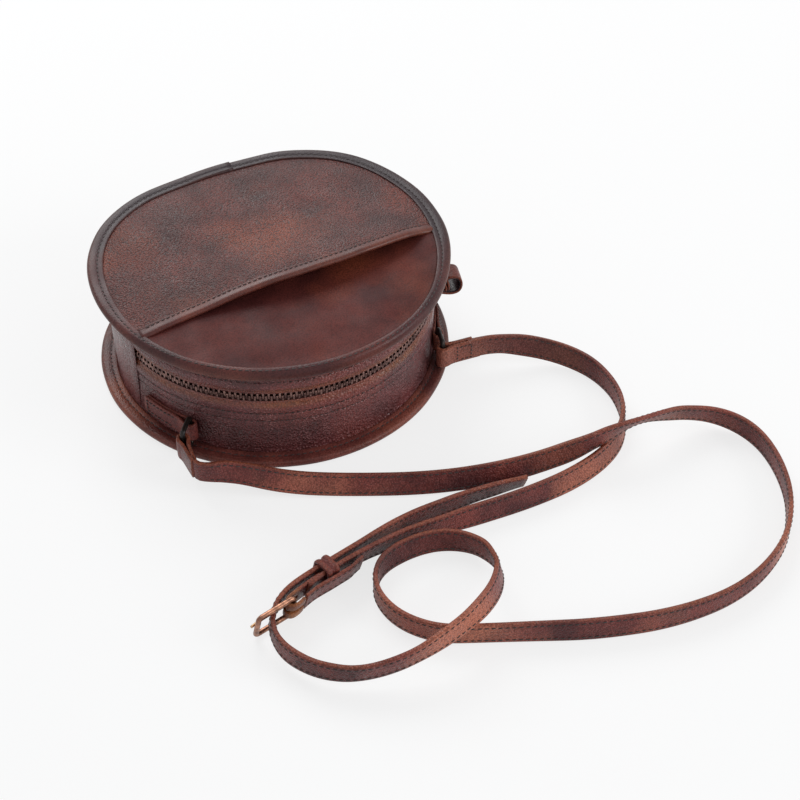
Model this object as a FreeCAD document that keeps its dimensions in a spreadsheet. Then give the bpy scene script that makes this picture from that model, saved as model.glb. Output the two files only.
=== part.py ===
import FreeCAD, Part
import math
import os
import re
import Sketcher
from FreeCAD import Placement, Rotation, Vector

# Round leather shoulder bag lying on its back, with its strap laid out in front of it.
# +Z points out of the face, -Y to the worn top with the zip, +X to the bag's right-hand ring.
# The origin is on the resting plane, under the centre of the zip's arc.

SIZES = {
    # Outline of the panels: a large circle, two corner arcs and a flat bottom arc.
    "outline_radius": 100.0,
    "corner_radius": 73.0,
    "corner_start_angle": 24.34,
    "bottom_radius": 250.0,
    # Shell.
    "depth": 71.0,
    "leather": 1.3,
    "binding_leather": 1.0,
    "binding_width": 9.0,
    "overhang": 9.4,
    "lining": 0.8,
    "fit_gap": 0.3,
    "overrun": 5.0,
    # Slip pocket and its trim, and the crease beside it on which the mouth lifts.
    "pocket_edge": 31.0,
    "crease_clearance": 5.0,
    "trim_width": 7.0,
    "trim_thickness": 2.0,
    "pocket_leather": 1.2,
    # Zip.
    "zip_height": 44.0,
    "zip_angle": 166.0,
    "mouth_half": 5.0,
    "tape_width": 12.0,
    "tape_thickness": 0.6,
    "tape_angle": 165.0,
    "teeth_angle": 160.0,
    "row_gap": 1.4,
    "tooth_height": 2.0,
    "tooth_depth": 2.8,
    "tooth_width": 1.6,
    "tooth_pitch": 3.0,
    "tooth_overlap": 0.2,
    "cord_height": 1.0,
    "cord_depth": 1.8,
    "stop_angle": 2.0,
    "stop_gap_angle": 1.0,
    # Slider and pull.
    "slider_length": 9.0,
    "slider_height": 8.6,
    "slider_plate": 1.0,
    "post_length": 3.0,
    "post_height": 0.8,
    "park_angle": 76.0,
    "lug_length": 2.4,
    "lug_height": 2.4,
    "lug_reach": 3.2,
    "pin_offset": 2.1,
    "pin_radius": 0.55,
    "pin_clearance": 0.05,
    "ear_radius": 1.5,
    "ear_thickness": 0.8,
    "pull_length": 7.0,
    "bar_radius": 0.8,
    "pull_leather": 2.4,
    "pull_width": 8.0,
    "pull_tab_length": 19.0,
    "pull_boss": 2.2,
    # Grip loop at the zip's right-hand end.
    "grip_angle": 17.0,
    "grip_drop": 11.0,
    "grip_reach": 17.0,
    "grip_span": 10.0,
    "grip_width": 12.0,
    "grip_leather": 1.4,
    # Strap tabs and rings.
    "tab_end_angle": 36.0,
    "tab_angle": 17.0,
    "tab_height": 11.0,
    "tab_thickness": 3.2,
    "tab_boss": 2.7,
    "ring_height": 15.6,
    "ring_wire": 2.6,
    "ring_width": 15.6,
    "ring_reach": 13.0,
    "ring_corner": 2.4,
    "left_ring_heading": 230.0,
    "right_ring_heading": 254.0,
    # Straps.
    "strap_width": 13.0,
    "strap_thickness": 3.0,
    "end_loop_boss": 3.1,
    "end_loop_thickness": 4.6,
    "end_loop_length": 18.0,
    "left_loop_heading": 280.0,
    "right_loop_heading": 357.0,
    # Buckle and keeper.
    "buckle_x": -79.5,
    "buckle_y": -187.5,
    "buckle_height": 10.3,
    "buckle_heading": 191.0,
    "buckle_reach": 21.0,
    "buckle_wire": 2.6,
    "buckle_width": 15.0,
    "buckle_corner": 2.2,
    "chape_boss": 3.2,
    "prong_height": 2.4,
    "prong_thickness": 2.0,
    "prong_ring": 3.4,
    "prong_overhang": 2.4,
    "prong_angle": 12.0,
    "slot_reach": 18.0,
    "slot_side_angle": 6.0,
    "keeper_x": -55.0,
    "keeper_y": -175.4,
    "keeper_heading": 11.0,
    "keeper_length": 7.0,
    "keeper_leather": 1.4,
    "keeper_gap": 0.5,
    "strap_spacing": 4.9,
}

# Sizes that follow from the sheet, written in its words.
DERIVED = {
    "corner_offset": "(outline_radius - corner_radius) * cos(corner_start_angle)",
    "crease_distance": "pocket_edge + crease_clearance",
    "lining_top": "zip_height - tape_width",
    "grip_height": "zip_height - grip_drop",
    "gusset_low": "binding_leather + leather",
    "back_fold": "binding_leather + 2 * leather",
    "binding_height": "2 * binding_leather + 2 * leather",
    "panel_high": "depth - binding_leather",
    "gusset_high": "panel_high - leather",
    "front_fold": "panel_high - 2 * leather",
    "wall_outer": "outline_radius - overhang",
    "wall_inner": "wall_outer - leather",
    "edge_inset": "binding_leather + fit_gap",
    "edge_radius": "outline_radius - edge_inset",
    "panel_inset": "binding_width + fit_gap",
    "inner_inset": "overhang + leather",
    "lining_inset": "inner_inset + fit_gap",
    "mouth_low": "zip_height - mouth_half",
    "mouth_high": "zip_height + mouth_half",
    "tape_outer": "wall_inner - fit_gap",
    "tape_inner": "tape_outer - tape_thickness",
    "row_radius": "tape_outer - tape_thickness / 2",
    "tooth_outer": "row_radius + tooth_depth / 2",
    "tooth_inner": "row_radius - tooth_depth / 2",
    "cord_outer": "row_radius + cord_depth / 2",
    "cord_inner": "row_radius - cord_depth / 2",
    "cord_start": "row_gap / 2 + tooth_height - tooth_overlap",
    "tape_start": "cord_start + cord_height",
    "slider_outer": "wall_outer + fit_gap + slider_plate",
    "slider_inner": "tooth_inner - fit_gap - slider_plate",
    "pin_circle": "slider_outer + pin_offset",
    "ear_low": "lug_height / 2 + fit_gap",
    "pull_height": "ear_low + ear_thickness",
    "tab_inner": "wall_outer + fit_gap",
    "bar_circle": "tab_inner + tab_boss + fit_gap",
    "ring_bore": "ring_wire / 2 + fit_gap",
    "tooth_count": "floor(teeth_angle * pi / 180 * row_radius / tooth_pitch)",
    "seam_angle": "2 * fit_gap / wall_outer * 180 / pi",
}

# Route of each strap, at the middle of its section: hand-chosen points in millimetres.
LONG_ROUTE = [
    (-81.1, -83.3, 15.6), (-78.9, -95.8, 15.6), (-63.0, -109.5, 10.8), (-41.5, -119.8, 7.4),
    (-17.0, -128.8, 6.8), (23.7, -141.6, 6.8), (61.2, -150.5, 9.0), (91.0, -158.0, 15.0),
    (112.0, -164.5, 21.6), (138.0, -169.5, 21.6), (164.0, -172.0, 15.0), (186.0, -178.0, 9.0),
    (197.5, -196.0, 6.8), (194.5, -221.0, 6.8), (180.5, -246.0, 6.8), (157.0, -266.5, 6.8),
    (123.0, -281.5, 6.8), (85.0, -282.0, 6.8), (47.0, -270.5, 6.8), (20.0, -259.5, 6.8),
    (-4.0, -248.5, 6.8), (-23.5, -234.5, 6.8), (-36.0, -215.0, 6.8), (-38.0, -195.5, 6.8),
    (-28.0, -181.5, 6.8), (-7.5, -177.8, 6.8), (11.5, -182.0, 6.8), (24.0, -195.0, 7.4),
    (24.0, -213.0, 11.5), (14.0, -228.0, 18.0), (0.0, -239.3, 21.6), (-19.0, -247.8, 21.6),
    (-45.0, -249.0, 15.6), (-69.0, -241.5, 10.6), (-85.0, -229.8, 10.3), (-93.2, -216.5, 10.3),
    (-95.8, -205.5, 10.3), (-94.0, -194.8, 10.3), (-89.0, -186.0, 10.3), (-80.5, -179.5, 10.3),
    (-69.2, -175.65, 10.3), (-36.8, -169.35, 10.3), (-18.0, -165.0, 8.7), (2.0, -162.5, 7.1),
    (23.0, -161.8, 6.8), (46.0, -162.8, 6.8), (67.5, -166.0, 6.8),
]
SHORT_ROUTE = [
    (90.8, -68.7, 15.6), (106.0, -69.6, 15.6), (124.0, -75.0, 10.8), (139.5, -89.5, 7.4),
    (147.0, -111.0, 6.8), (147.0, -135.0, 6.8), (138.0, -157.5, 6.8), (119.0, -173.5, 6.8),
    (92.0, -181.0, 6.8), (62.0, -181.0, 6.8), (34.0, -177.2, 6.8), (8.0, -172.8, 6.8),
    (-14.0, -171.8, 8.6), (-35.8, -174.15, 10.3), (-66.2, -180.1, 10.3), (-77.2, -186.2, 10.3),
]
ARC_SHARE = 0.45

doc = FreeCAD.newDocument("circle_bag")
size = doc.addObject("Spreadsheet::Sheet", "size")
for row, (alias, value) in enumerate(SIZES.items(), start=1):
    size.set(f"A{row}", alias)
    size.set(f"B{row}", str(value))
    size.setAlias(f"B{row}", alias)
doc.recompute()


def linked(expression):
    """Expression with each of the sheet's words tied to its cell."""
    def tie(match):
        word = match.group(0)
        if word in DERIVED:
            return "(" + linked(DERIVED[word]) + ")"
        return "size." + word if word in SIZES else word
    return re.sub(r"[a-z_]+", tie, expression)


def amount(expression):
    """Present value of an expression in the sheet's words."""
    return float(size.evalExpression(linked(expression)))


def bind(thing, **properties):
    """Tie properties of a document object to the sheet."""
    for name, expression in properties.items():
        thing.setExpression(name, linked(expression))


def make_body(name):
    body = doc.addObject("PartDesign::Body", name)
    body.Label = name
    body.AllowCompound = True
    return body


def sketch_on(body, role, height="0"):
    """Sketch on one of the body's own origin planes, lifted along the plane's normal."""
    plane = next(item for item in body.Origin.OriginFeatures if item.Role == role)
    sketch = body.newObject("Sketcher::SketchObject", body.Name + "_sketch")
    sketch.AttachmentSupport = [(plane, "")]
    sketch.MapMode = "FlatFace"
    sketch.setExpression("AttachmentOffset.Base.z", linked(height))
    return sketch


def dimension(sketch, expression, kind, *places):
    """Driving dimension of a sketch, tied to the sheet."""
    index = sketch.addConstraint(Sketcher.Constraint(kind, *places, amount(expression)))
    sketch.setExpression(f"Constraints[{index}]", linked(expression))


def fix_point(sketch, geometry, end, x, y):
    dimension(sketch, x, "DistanceX", -1, 1, geometry, end)
    dimension(sketch, y, "DistanceY", -1, 1, geometry, end)


def draw_polygon(sketch, corners):
    points = [Vector(amount(x), amount(y), 0) for x, y in corners]
    sides = [sketch.addGeometry(Part.LineSegment(start, end))
             for start, end in zip(points, points[1:] + points[:1])]
    for side, following in zip(sides, sides[1:] + sides[:1]):
        sketch.addConstraint(Sketcher.Constraint("Coincident", side, 2, following, 1))
    for side, corner in zip(sides, corners):
        fix_point(sketch, side, 1, *corner)


def draw_box(sketch, left, low, right, high):
    draw_polygon(sketch, [(left, low), (right, low), (right, high), (left, high)])


def draw_circle(sketch, x, y, radius):
    centre = Vector(amount(x), amount(y), 0)
    ring = sketch.addGeometry(Part.Circle(centre, Vector(0, 0, 1), amount(radius)))
    fix_point(sketch, ring, 3, x, y)
    dimension(sketch, radius, "Radius", ring)


def draw_outline(sketch, inset):
    """Closed outline of the bag, set in from its edge: four arcs that run into each other."""
    radii = [f"{name} - ({inset})" for name in ("outline_radius", "corner_radius", "bottom_radius")]
    main, corner, bottom = (amount(radius) for radius in radii)
    across = amount("corner_offset")
    up = math.sqrt((main - corner) ** 2 - across ** 2)
    down = up - math.sqrt((bottom - corner) ** 2 - across ** 2)
    leave = math.atan2(up, across)
    turn = math.atan2(up - down, across)
    half = math.pi
    arcs = [
        (Vector(0, 0, 0), main, half - leave, 2 * half + leave),
        (Vector(across, up, 0), corner, leave, turn),
        (Vector(0, down, 0), bottom, turn, half - turn),
        (Vector(-across, up, 0), corner, half - turn, half - leave),
    ]
    ids = []
    for centre, radius, start, end in arcs:
        circle = Part.Circle(centre, Vector(0, 0, 1), radius)
        ids.append(sketch.addGeometry(Part.ArcOfCircle(circle, start, end)))
    for arc, following in zip(ids, ids[1:] + ids[:1]):
        sketch.addConstraint(Sketcher.Constraint("Tangent", arc, 2, following, 1))
    sketch.addConstraint(Sketcher.Constraint("Coincident", ids[0], 3, -1, 1))
    dimension(sketch, "corner_offset", "DistanceX", -1, 1, ids[1], 3)
    dimension(sketch, "-(corner_offset)", "DistanceX", -1, 1, ids[3], 3)
    for arc, radius in zip(ids, (radii[0], radii[1], radii[2], radii[1])):
        dimension(sketch, radius, "Radius", arc)


def add_pad(body, sketch, length, symmetric=False):
    pad = body.newObject("PartDesign::Pad", body.Name + "_pad")
    pad.Profile = sketch
    pad.SideType = "Symmetric" if symmetric else "One side"
    bind(pad, Length=length)
    return pad


def add_pocket(body, sketch, length):
    """Cut to both sides of the sketch's plane."""
    pocket = body.newObject("PartDesign::Pocket", body.Name + "_pocket")
    pocket.Profile = sketch
    pocket.SideType = "Symmetric"
    bind(pocket, Length=length)
    return pocket


def add_turn(body, kind, sketch, angle):
    """Revolution or Groove about the vertical axis, to both sides of the sketch's plane."""
    turn = body.newObject("PartDesign::" + kind, body.Name + "_" + kind.lower())
    turn.Profile = sketch
    turn.ReferenceAxis = (sketch, ["V_Axis"])
    turn.Midplane = True
    bind(turn, Angle=angle)
    return turn


def plate(body, inset, low, thickness, inner=None):
    """Plate in the bag's outline, or a ring of it where an inner inset is given."""
    sketch = sketch_on(body, "XY_Plane", low)
    draw_outline(sketch, inset)
    if inner:
        draw_outline(sketch, inner)
    add_pad(body, sketch, thickness)


def sector(body, corners, angle, kind="Revolution"):
    """Wall along the zip's arc: corners are radius and height, centred on the worn top."""
    sketch = sketch_on(body, "YZ_Plane")
    draw_polygon(sketch, [(f"-({radius})", height) for radius, height in corners])
    add_turn(body, kind, sketch, angle)


def sector_box(body, inner, low, outer, high, angle, kind="Revolution"):
    sector(body, [(inner, low), (outer, low), (outer, high), (inner, high)], angle, kind)


def spot(body, x, y, height, heading):
    """Put a body made about its own origin in its place."""
    body.Placement = Placement(Vector(x, y, height), Rotation(Vector(0, 0, 1), heading))


def circle_place(radius, angle):
    return radius * math.cos(math.radians(angle)), radius * math.sin(math.radians(angle))


def make_bindings():
    """Folded strip round a panel's edge: a C section, open inwards."""
    bodies = []
    for name, low in (("back_binding", "0"), ("front_binding_whole", "depth - binding_height")):
        body = make_body(name)
        plate(body, "0", low, "binding_height", "binding_width")
        slot = sketch_on(body, "XY_Plane", f"{low} + binding_height / 2")
        draw_outline(slot, "binding_leather")
        add_pocket(body, slot, "2 * leather")
        bodies.append(body)
    return bodies


def make_panels():
    back = make_body("back_panel")
    plate(back, "panel_inset", "0", "gusset_low")
    plate(back, "edge_inset", "binding_leather", "leather")
    front = make_body("front_panel_whole")
    plate(front, "edge_inset", "gusset_high", "leather")
    return back, front


def make_pocket():
    """Slip pocket over the worn-lower part of the front, with a folded trim on its open edge."""
    pocket_low = "panel_high + fit_gap"
    far_side = "bottom_radius"
    pocket = make_body("front_pocket")
    plate(pocket, "panel_inset", pocket_low, "pocket_leather")
    cut = sketch_on(pocket, "XY_Plane", pocket_low)
    draw_box(cut, f"-{far_side}", f"-{far_side}", far_side, "trim_width - pocket_edge")
    add_pocket(pocket, cut, "depth")
    trim = make_body("pocket_trim")
    plate(trim, "panel_inset", pocket_low, "trim_thickness")
    cut = sketch_on(trim, "XY_Plane", pocket_low)
    draw_box(cut, f"-{far_side}", f"-{far_side}", far_side, "-pocket_edge")
    draw_box(cut, f"-{far_side}", "trim_width - pocket_edge", far_side, far_side)
    add_pocket(trim, cut, "depth")


def make_gussets():
    """Walls between the panels: each turns outwards into a flange under the bindings."""
    bottom = make_body("bottom_gusset")
    plate(bottom, "overhang", "gusset_low", "gusset_high - gusset_low", "inner_inset")
    plate(bottom, "edge_inset", "gusset_low", "leather", "inner_inset")
    plate(bottom, "edge_inset", "front_fold", "leather", "inner_inset")
    sector_box(bottom, "overrun", "-overrun", "outline_radius + overrun", "depth + overrun",
               "zip_angle + seam_angle", "Groove")
    back = make_body("zip_gusset_back")
    sector(back, [("wall_inner", "gusset_low"), ("edge_radius", "gusset_low"), ("edge_radius", "back_fold"),
                  ("wall_outer", "back_fold"), ("wall_outer", "mouth_low"), ("wall_inner", "mouth_low")],
           "zip_angle")
    front = make_body("zip_gusset_front_whole")
    sector(front, [("wall_inner", "mouth_high"), ("wall_outer", "mouth_high"), ("wall_outer", "front_fold"),
                   ("edge_radius", "front_fold"), ("edge_radius", "gusset_high"),
                   ("wall_inner", "gusset_high")], "zip_angle")
    return front


def make_linings():
    back = make_body("back_lining")
    plate(back, "lining_inset", "gusset_low", "lining")
    walls = make_body("gusset_lining")
    wall_low = "gusset_low + lining"
    plate(walls, "lining_inset", wall_low, f"gusset_high - lining - fit_gap - ({wall_low})",
          "lining_inset + lining")
    sector_box(walls, "overrun", "lining_top", "outline_radius", "depth + overrun", "zip_angle + 2 * seam_angle",
               "Groove")
    front = make_body("front_lining_whole")
    plate(front, "lining_inset", "gusset_high - lining", "lining")
    return front


def make_zip_rows():
    """Tapes and tooth rows; the front ones are split later at the crease."""
    fronts = []
    for name, sign in (("back", "-"), ("front", "+")):
        ending = "" if sign == "-" else "_whole"
        def level(distance):
            return f"zip_height {sign} ({distance})"
        tape = make_body(f"zip_tape_{name}{ending}")
        sector_box(tape, "tape_inner", level("tape_start"), "tape_outer", level("tape_width"), "tape_angle")
        teeth = make_body(f"zip_teeth_{name}{ending}")
        cord = sketch_on(teeth, "YZ_Plane")
        draw_box(cord, "-(cord_outer)", level("cord_start"), "-(cord_inner)", level("tape_start"))
        turn = add_turn(teeth, "Revolution", cord, "teeth_angle")
        turn.Midplane = False
        tooth = sketch_on(teeth, "YZ_Plane")
        draw_box(tooth, "-(tooth_outer)", level("row_gap / 2"), "-(tooth_inner)",
                 level("row_gap / 2 + tooth_height"))
        block = add_pad(teeth, tooth, "tooth_width", symmetric=True)
        pattern = teeth.newObject("PartDesign::PolarPattern", teeth.Name + "_pattern")
        pattern.Originals = [block]
        axis = next(item for item in teeth.Origin.OriginFeatures if item.Role == "Z_Axis")
        pattern.Axis = (axis, [""])
        bind(pattern, Angle="teeth_angle", Occurrences="tooth_count")
        teeth.Tip = pattern
        spot(teeth, 0, 0, 0, -amount("teeth_angle") / 2)
        if ending:
            fronts += [tape, teeth]
    stops = make_body("zip_stops")
    stop_low = "zip_height - tape_start"
    stop_high = "zip_height + tape_start"
    sector_box(stops, "cord_inner", stop_low, "cord_outer", stop_high,
               "teeth_angle + 2 * stop_gap_angle + 2 * stop_angle")
    sector_box(stops, "cord_inner - overrun", f"{stop_low} - overrun", "cord_outer + overrun",
               f"{stop_high} + overrun", "teeth_angle + 2 * stop_gap_angle", "Groove")
    return fronts


def make_slider():
    """Two plates on either side of the teeth, joined by a thin post between the rows."""
    slider = make_body("zip_slider")
    plate_low = "zip_height - slider_height / 2"
    plate_high = "zip_height + slider_height / 2"
    plate_arc = "slider_length / wall_outer * 180 / pi"
    sector_box(slider, "wall_outer + fit_gap", plate_low, "slider_outer", plate_high, plate_arc)
    sector_box(slider, "slider_inner", "zip_height - post_height / 2",
               "slider_outer - slider_plate / 2", "zip_height + post_height / 2",
               "post_length / wall_outer * 180 / pi")
    sector_box(slider, "slider_inner", plate_low, "slider_inner + slider_plate", plate_high, plate_arc)
    lug = sketch_on(slider, "XY_Plane", "zip_height")
    draw_box(lug, "-lug_length / 2", "-(slider_outer + lug_reach)", "lug_length / 2",
             "-(slider_outer - slider_plate / 2)")
    add_pad(slider, lug, "lug_height", symmetric=True)
    hole = sketch_on(slider, "XY_Plane", "zip_height")
    draw_circle(hole, "0", "-(pin_circle)", "pin_radius + pin_clearance")
    add_pocket(slider, hole, "depth")
    spot(slider, 0, 0, 0, amount("park_angle"))


def make_pull():
    """Pull on the slider's lug: two ears on a pin, a cross bar, and a leather tab on the bar."""
    pin_angle = amount("park_angle") - 90
    x, y = circle_place(amount("pin_circle"), pin_angle)
    heading = pin_angle - 90
    pull = make_body("zip_pull")
    pin = sketch_on(pull, "XY_Plane")
    draw_circle(pin, "0", "0", "pin_radius")
    add_pad(pull, pin, "2 * (pull_height)", symmetric=True)
    bar = sketch_on(pull, "XY_Plane")
    draw_circle(bar, "pull_length", "0", "bar_radius")
    add_pad(pull, bar, "pull_width + 2 * ear_thickness", symmetric=True)
    for low in ("ear_low", "-(pull_height)"):
        ear = sketch_on(pull, "XY_Plane", low)
        draw_circle(ear, "0", "0", "ear_radius")
        add_pad(pull, ear, "ear_thickness")
        arm = sketch_on(pull, "XY_Plane", low)
        draw_box(arm, "0", "-bar_radius", "pull_length", "bar_radius")
        add_pad(pull, arm, "ear_thickness")
    spot(pull, x, y, amount("zip_height"), heading)
    tab = make_body("pull_tab")
    boss = sketch_on(tab, "XY_Plane")
    draw_circle(boss, "0", "0", "pull_boss")
    add_pad(tab, boss, "pull_width", symmetric=True)
    strip = sketch_on(tab, "XY_Plane")
    draw_box(strip, "0", "-pull_leather / 2", "pull_tab_length", "pull_leather / 2")
    add_pad(tab, strip, "pull_width", symmetric=True)
    bore = sketch_on(tab, "XY_Plane")
    draw_circle(bore, "0", "0", "bar_radius + fit_gap")
    add_pocket(tab, bore, "depth")
    room = sketch_on(tab, "XY_Plane")
    draw_box(room, "-pull_boss - overrun", "-pull_boss - overrun", "bar_radius + fit_gap",
             "pull_boss + overrun")
    add_pocket(tab, room, "2 * (pull_height + fit_gap)")
    bar_x, bar_y = circle_place(amount("pull_length"), heading)
    spot(tab, x + bar_x, y + bar_y, amount("zip_height"), heading)


def make_grip():
    """Leather strip folded into a loop that stands out from the wall."""
    grip = make_body("grip_loop")
    profile = sketch_on(grip, "XZ_Plane")
    half = "grip_span / 2"
    inner = "grip_span / 2 - grip_leather"
    foot = "wall_outer + fit_gap"
    bend = "wall_outer + grip_reach - grip_span / 2"
    sides = []
    for reach in (half, inner):
        centre = Vector(amount(bend), 0, 0)
        radius = amount(reach)
        start = amount(foot)
        circle = Part.Circle(centre, Vector(0, 0, 1), radius)
        low = profile.addGeometry(Part.LineSegment(Vector(start, -radius, 0), Vector(centre.x, -radius, 0)))
        arc = profile.addGeometry(Part.ArcOfCircle(circle, -math.pi / 2, math.pi / 2))
        high = profile.addGeometry(Part.LineSegment(Vector(centre.x, radius, 0), Vector(start, radius, 0)))
        profile.addConstraint(Sketcher.Constraint("Tangent", low, 2, arc, 1))
        profile.addConstraint(Sketcher.Constraint("Tangent", arc, 2, high, 1))
        fix_point(profile, low, 1, foot, f"-({reach})")
        fix_point(profile, high, 2, foot, reach)
        dimension(profile, bend, "DistanceX", -1, 1, arc, 3)
        sides.append((low, high))
    for end, (outer, inside) in enumerate(zip(*sides), start=1):
        points = [profile.getPoint(outer, end), profile.getPoint(inside, end)]
        joint = profile.addGeometry(Part.LineSegment(*points))
        profile.addConstraint(Sketcher.Constraint("Coincident", joint, 1, outer, end))
        profile.addConstraint(Sketcher.Constraint("Coincident", joint, 2, inside, end))
    add_pad(grip, profile, "grip_width", symmetric=True)
    spot(grip, 0, 0, amount("grip_height"), -amount("grip_angle"))


def make_wire_frame(name, reach, width, wire, corner):
    """Rounded oblong of round wire; its bar stands on the body's own vertical axis."""
    frame = make_body(name)
    spine = sketch_on(frame, "XZ_Plane")
    high = f"{width} / 2 + {wire} / 2"
    corners = [(0.0, amount(high)), (amount(reach), amount(high)),
               (amount(reach), -amount(high)), (0.0, -amount(high))]
    bend = amount(corner)
    points = [Vector(x, y, 0) for x, y in corners]
    pieces = []
    for before, here, after in zip(points[-1:] + points[:-1], points, points[1:] + points[:1]):
        entry = here + (before - here).normalize() * bend
        leave = here + (after - here).normalize() * bend
        centre = entry + leave - here
        pieces.append((entry, leave, centre))
    ids = []
    for entry, leave, centre in pieces:
        start = math.atan2(leave.y - centre.y, leave.x - centre.x)
        end = math.atan2(entry.y - centre.y, entry.x - centre.x)
        circle = Part.Circle(centre, Vector(0, 0, 1), bend)
        ids.append(spine.addGeometry(Part.ArcOfCircle(circle, start, end)))
    for index, (entry, leave, centre) in enumerate(pieces):
        following = (index + 1) % len(pieces)
        side = spine.addGeometry(Part.LineSegment(leave, pieces[following][0]))
        spine.addConstraint(Sketcher.Constraint("Tangent", ids[index], 1, side, 1))
        spine.addConstraint(Sketcher.Constraint("Tangent", side, 2, ids[following], 2))
    for arc in ids:
        dimension(spine, corner, "Radius", arc)
    dimension(spine, corner, "DistanceX", -1, 1, ids[0], 3)
    dimension(spine, f"{reach} - {corner}", "DistanceX", -1, 1, ids[1], 3)
    dimension(spine, f"{high} - {corner}", "DistanceY", -1, 1, ids[0], 3)
    dimension(spine, f"{corner} - ({high})", "DistanceY", -1, 1, ids[2], 3)
    section = sketch_on(frame, "XY_Plane")
    draw_circle(section, "0", "0", f"{wire} / 2")
    pipe = frame.newObject("PartDesign::AdditivePipe", name + "_pipe")
    pipe.Profile = section
    pipe.Spine = spine
    return frame


def make_strap_hardware():
    """Stitched tabs on the wall, the rings in them and the sewn strap ends on the rings."""
    sides = (
        ("left", -1, "left_ring_heading", "left_loop_heading", "long_strap_loop"),
        ("right", 1, "right_ring_heading", "right_loop_heading", "short_strap_loop"),
    )
    for side, sign, ring_heading, loop_heading, loop_name in sides:
        tab = make_body(side + "_tab")
        half_height = "tab_height / 2"
        sector_box(tab, "tab_inner", f"ring_height - {half_height}", "tab_inner + tab_thickness",
                   f"ring_height + {half_height}", "tab_angle")
        across = f"{-sign} * bar_circle * sin(tab_angle / 2)"
        down = "-(bar_circle) * cos(tab_angle / 2)"
        boss = sketch_on(tab, "XY_Plane", "ring_height")
        draw_circle(boss, across, down, "tab_boss")
        add_pad(tab, boss, "tab_height", symmetric=True)
        bore = sketch_on(tab, "XY_Plane", "ring_height")
        draw_circle(bore, across, down, "ring_wire / 2 + pin_clearance")
        add_pocket(tab, bore, "2 * depth")
        spot(tab, 0, 0, 0, sign * (90 - amount("tab_end_angle") + amount("tab_angle") / 2))
        bar_angle = -amount("tab_end_angle") if sign > 0 else amount("tab_end_angle") - 180
        bar_x, bar_y = circle_place(amount("bar_circle"), bar_angle)
        ring = make_wire_frame(side + "_ring", "ring_reach", "ring_width", "ring_wire", "ring_corner")
        spot(ring, bar_x, bar_y, amount("ring_height"), amount(ring_heading))
        wire_x, wire_y = circle_place(amount("ring_reach"), amount(ring_heading))
        loop = make_body(loop_name)
        boss = sketch_on(loop, "XY_Plane")
        draw_circle(boss, "0", "0", "end_loop_boss")
        add_pad(loop, boss, "strap_width", symmetric=True)
        stub = sketch_on(loop, "XY_Plane")
        draw_box(stub, "0", "-end_loop_thickness / 2", "end_loop_length", "end_loop_thickness / 2")
        add_pad(loop, stub, "strap_width", symmetric=True)
        bore = sketch_on(loop, "XY_Plane")
        draw_circle(bore, "0", "0", "ring_bore")
        add_pocket(loop, bore, "depth")
        spot(loop, bar_x + wire_x, bar_y + wire_y, amount("ring_height"), amount(loop_heading))


def make_buckle():
    frame = make_wire_frame("buckle_frame", "buckle_reach", "buckle_width", "buckle_wire", "buckle_corner")
    prong = make_body("buckle_prong")
    eye = sketch_on(prong, "XY_Plane")
    draw_circle(eye, "0", "0", "prong_ring")
    add_pad(prong, eye, "prong_height", symmetric=True)
    near = "buckle_wire / 2 + fit_gap"
    rod = sketch_on(prong, "XY_Plane")
    draw_box(rod, "0", f"-({near}) - prong_thickness", "buckle_reach + prong_overhang", f"-({near})")
    add_pad(prong, rod, "prong_thickness", symmetric=True)
    bore = sketch_on(prong, "XY_Plane")
    draw_circle(bore, "0", "0", "buckle_wire / 2 + pin_clearance")
    add_pocket(prong, bore, "depth")
    for body in (frame, prong):
        spot(body, amount("buckle_x"), amount("buckle_y"), amount("buckle_height"), amount("buckle_heading"))
    keeper = make_body("keeper")
    inside = sketch_on(keeper, "YZ_Plane")
    half_gap = "strap_spacing / 2 + strap_thickness / 2 + keeper_gap"
    half_high = "strap_width / 2 + keeper_gap"
    for wall in ("0", "keeper_leather"):
        draw_box(inside, f"-({half_gap} + {wall})", f"-({half_high} + {wall})",
                 f"{half_gap} + {wall}", f"{half_high} + {wall}")
    add_pad(keeper, inside, "keeper_length", symmetric=True)
    spot(keeper, amount("keeper_x"), amount("keeper_y"), amount("buckle_height"), amount("keeper_heading"))


def route_wire(points):
    """Straight runs joined by arcs as large as the runs allow, with the arcs' radii."""
    edges = []
    radii = []
    start = points[0]
    for before, corner, after in zip(points, points[1:], points[2:]):
        back = before - corner
        ahead = after - corner
        half_turn = (math.pi - back.getAngle(ahead)) / 2
        reach = ARC_SHARE * min(back.Length, ahead.Length)
        entry = corner + back.normalize() * reach
        leave = corner + ahead.normalize() * reach
        radius = reach / math.tan(half_turn)
        inward = (back + ahead).normalize()
        middle = corner + inward * (radius / math.cos(half_turn) - radius)
        edges.append(Part.LineSegment(start, entry).toShape())
        edges.append(Part.Arc(entry, middle, leave).toShape())
        radii.append(radius)
        start = leave
    edges.append(Part.LineSegment(start, points[-1]).toShape())
    return Part.Wire(edges), radii


def make_strap(name, route):
    """Flat strap standing on its edge along its route."""
    points = [Vector(*point) for point in route]
    path, radii = route_wire(points)
    width = amount("strap_width")
    thickness = amount("strap_thickness")
    upward = Vector(0, 0, 1)
    first = (points[1] - points[0]).normalize()
    aside = upward.cross(first).normalize()
    corners = [points[0] + aside * (side * thickness / 2) + upward * (rise * width / 2)
               for side, rise in ((-1, -1), (1, -1), (1, 1), (-1, 1))]
    shell = Part.BRepOffsetAPI.MakePipeShell(path)
    shell.setBiNormalMode(upward)
    shell.add(Part.makePolygon(corners + corners[:1]))
    shell.build()
    shell.makeSolid()
    strap = doc.addObject("Part::Feature", name)
    strap.Shape = shell.shape()
    expected = width * thickness * path.Length
    print(name, "length", round(path.Length, 1), "volume share", round(strap.Shape.Volume / expected, 3))
    print(name, "radii", [round(radius) for radius in radii])
    return strap


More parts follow.
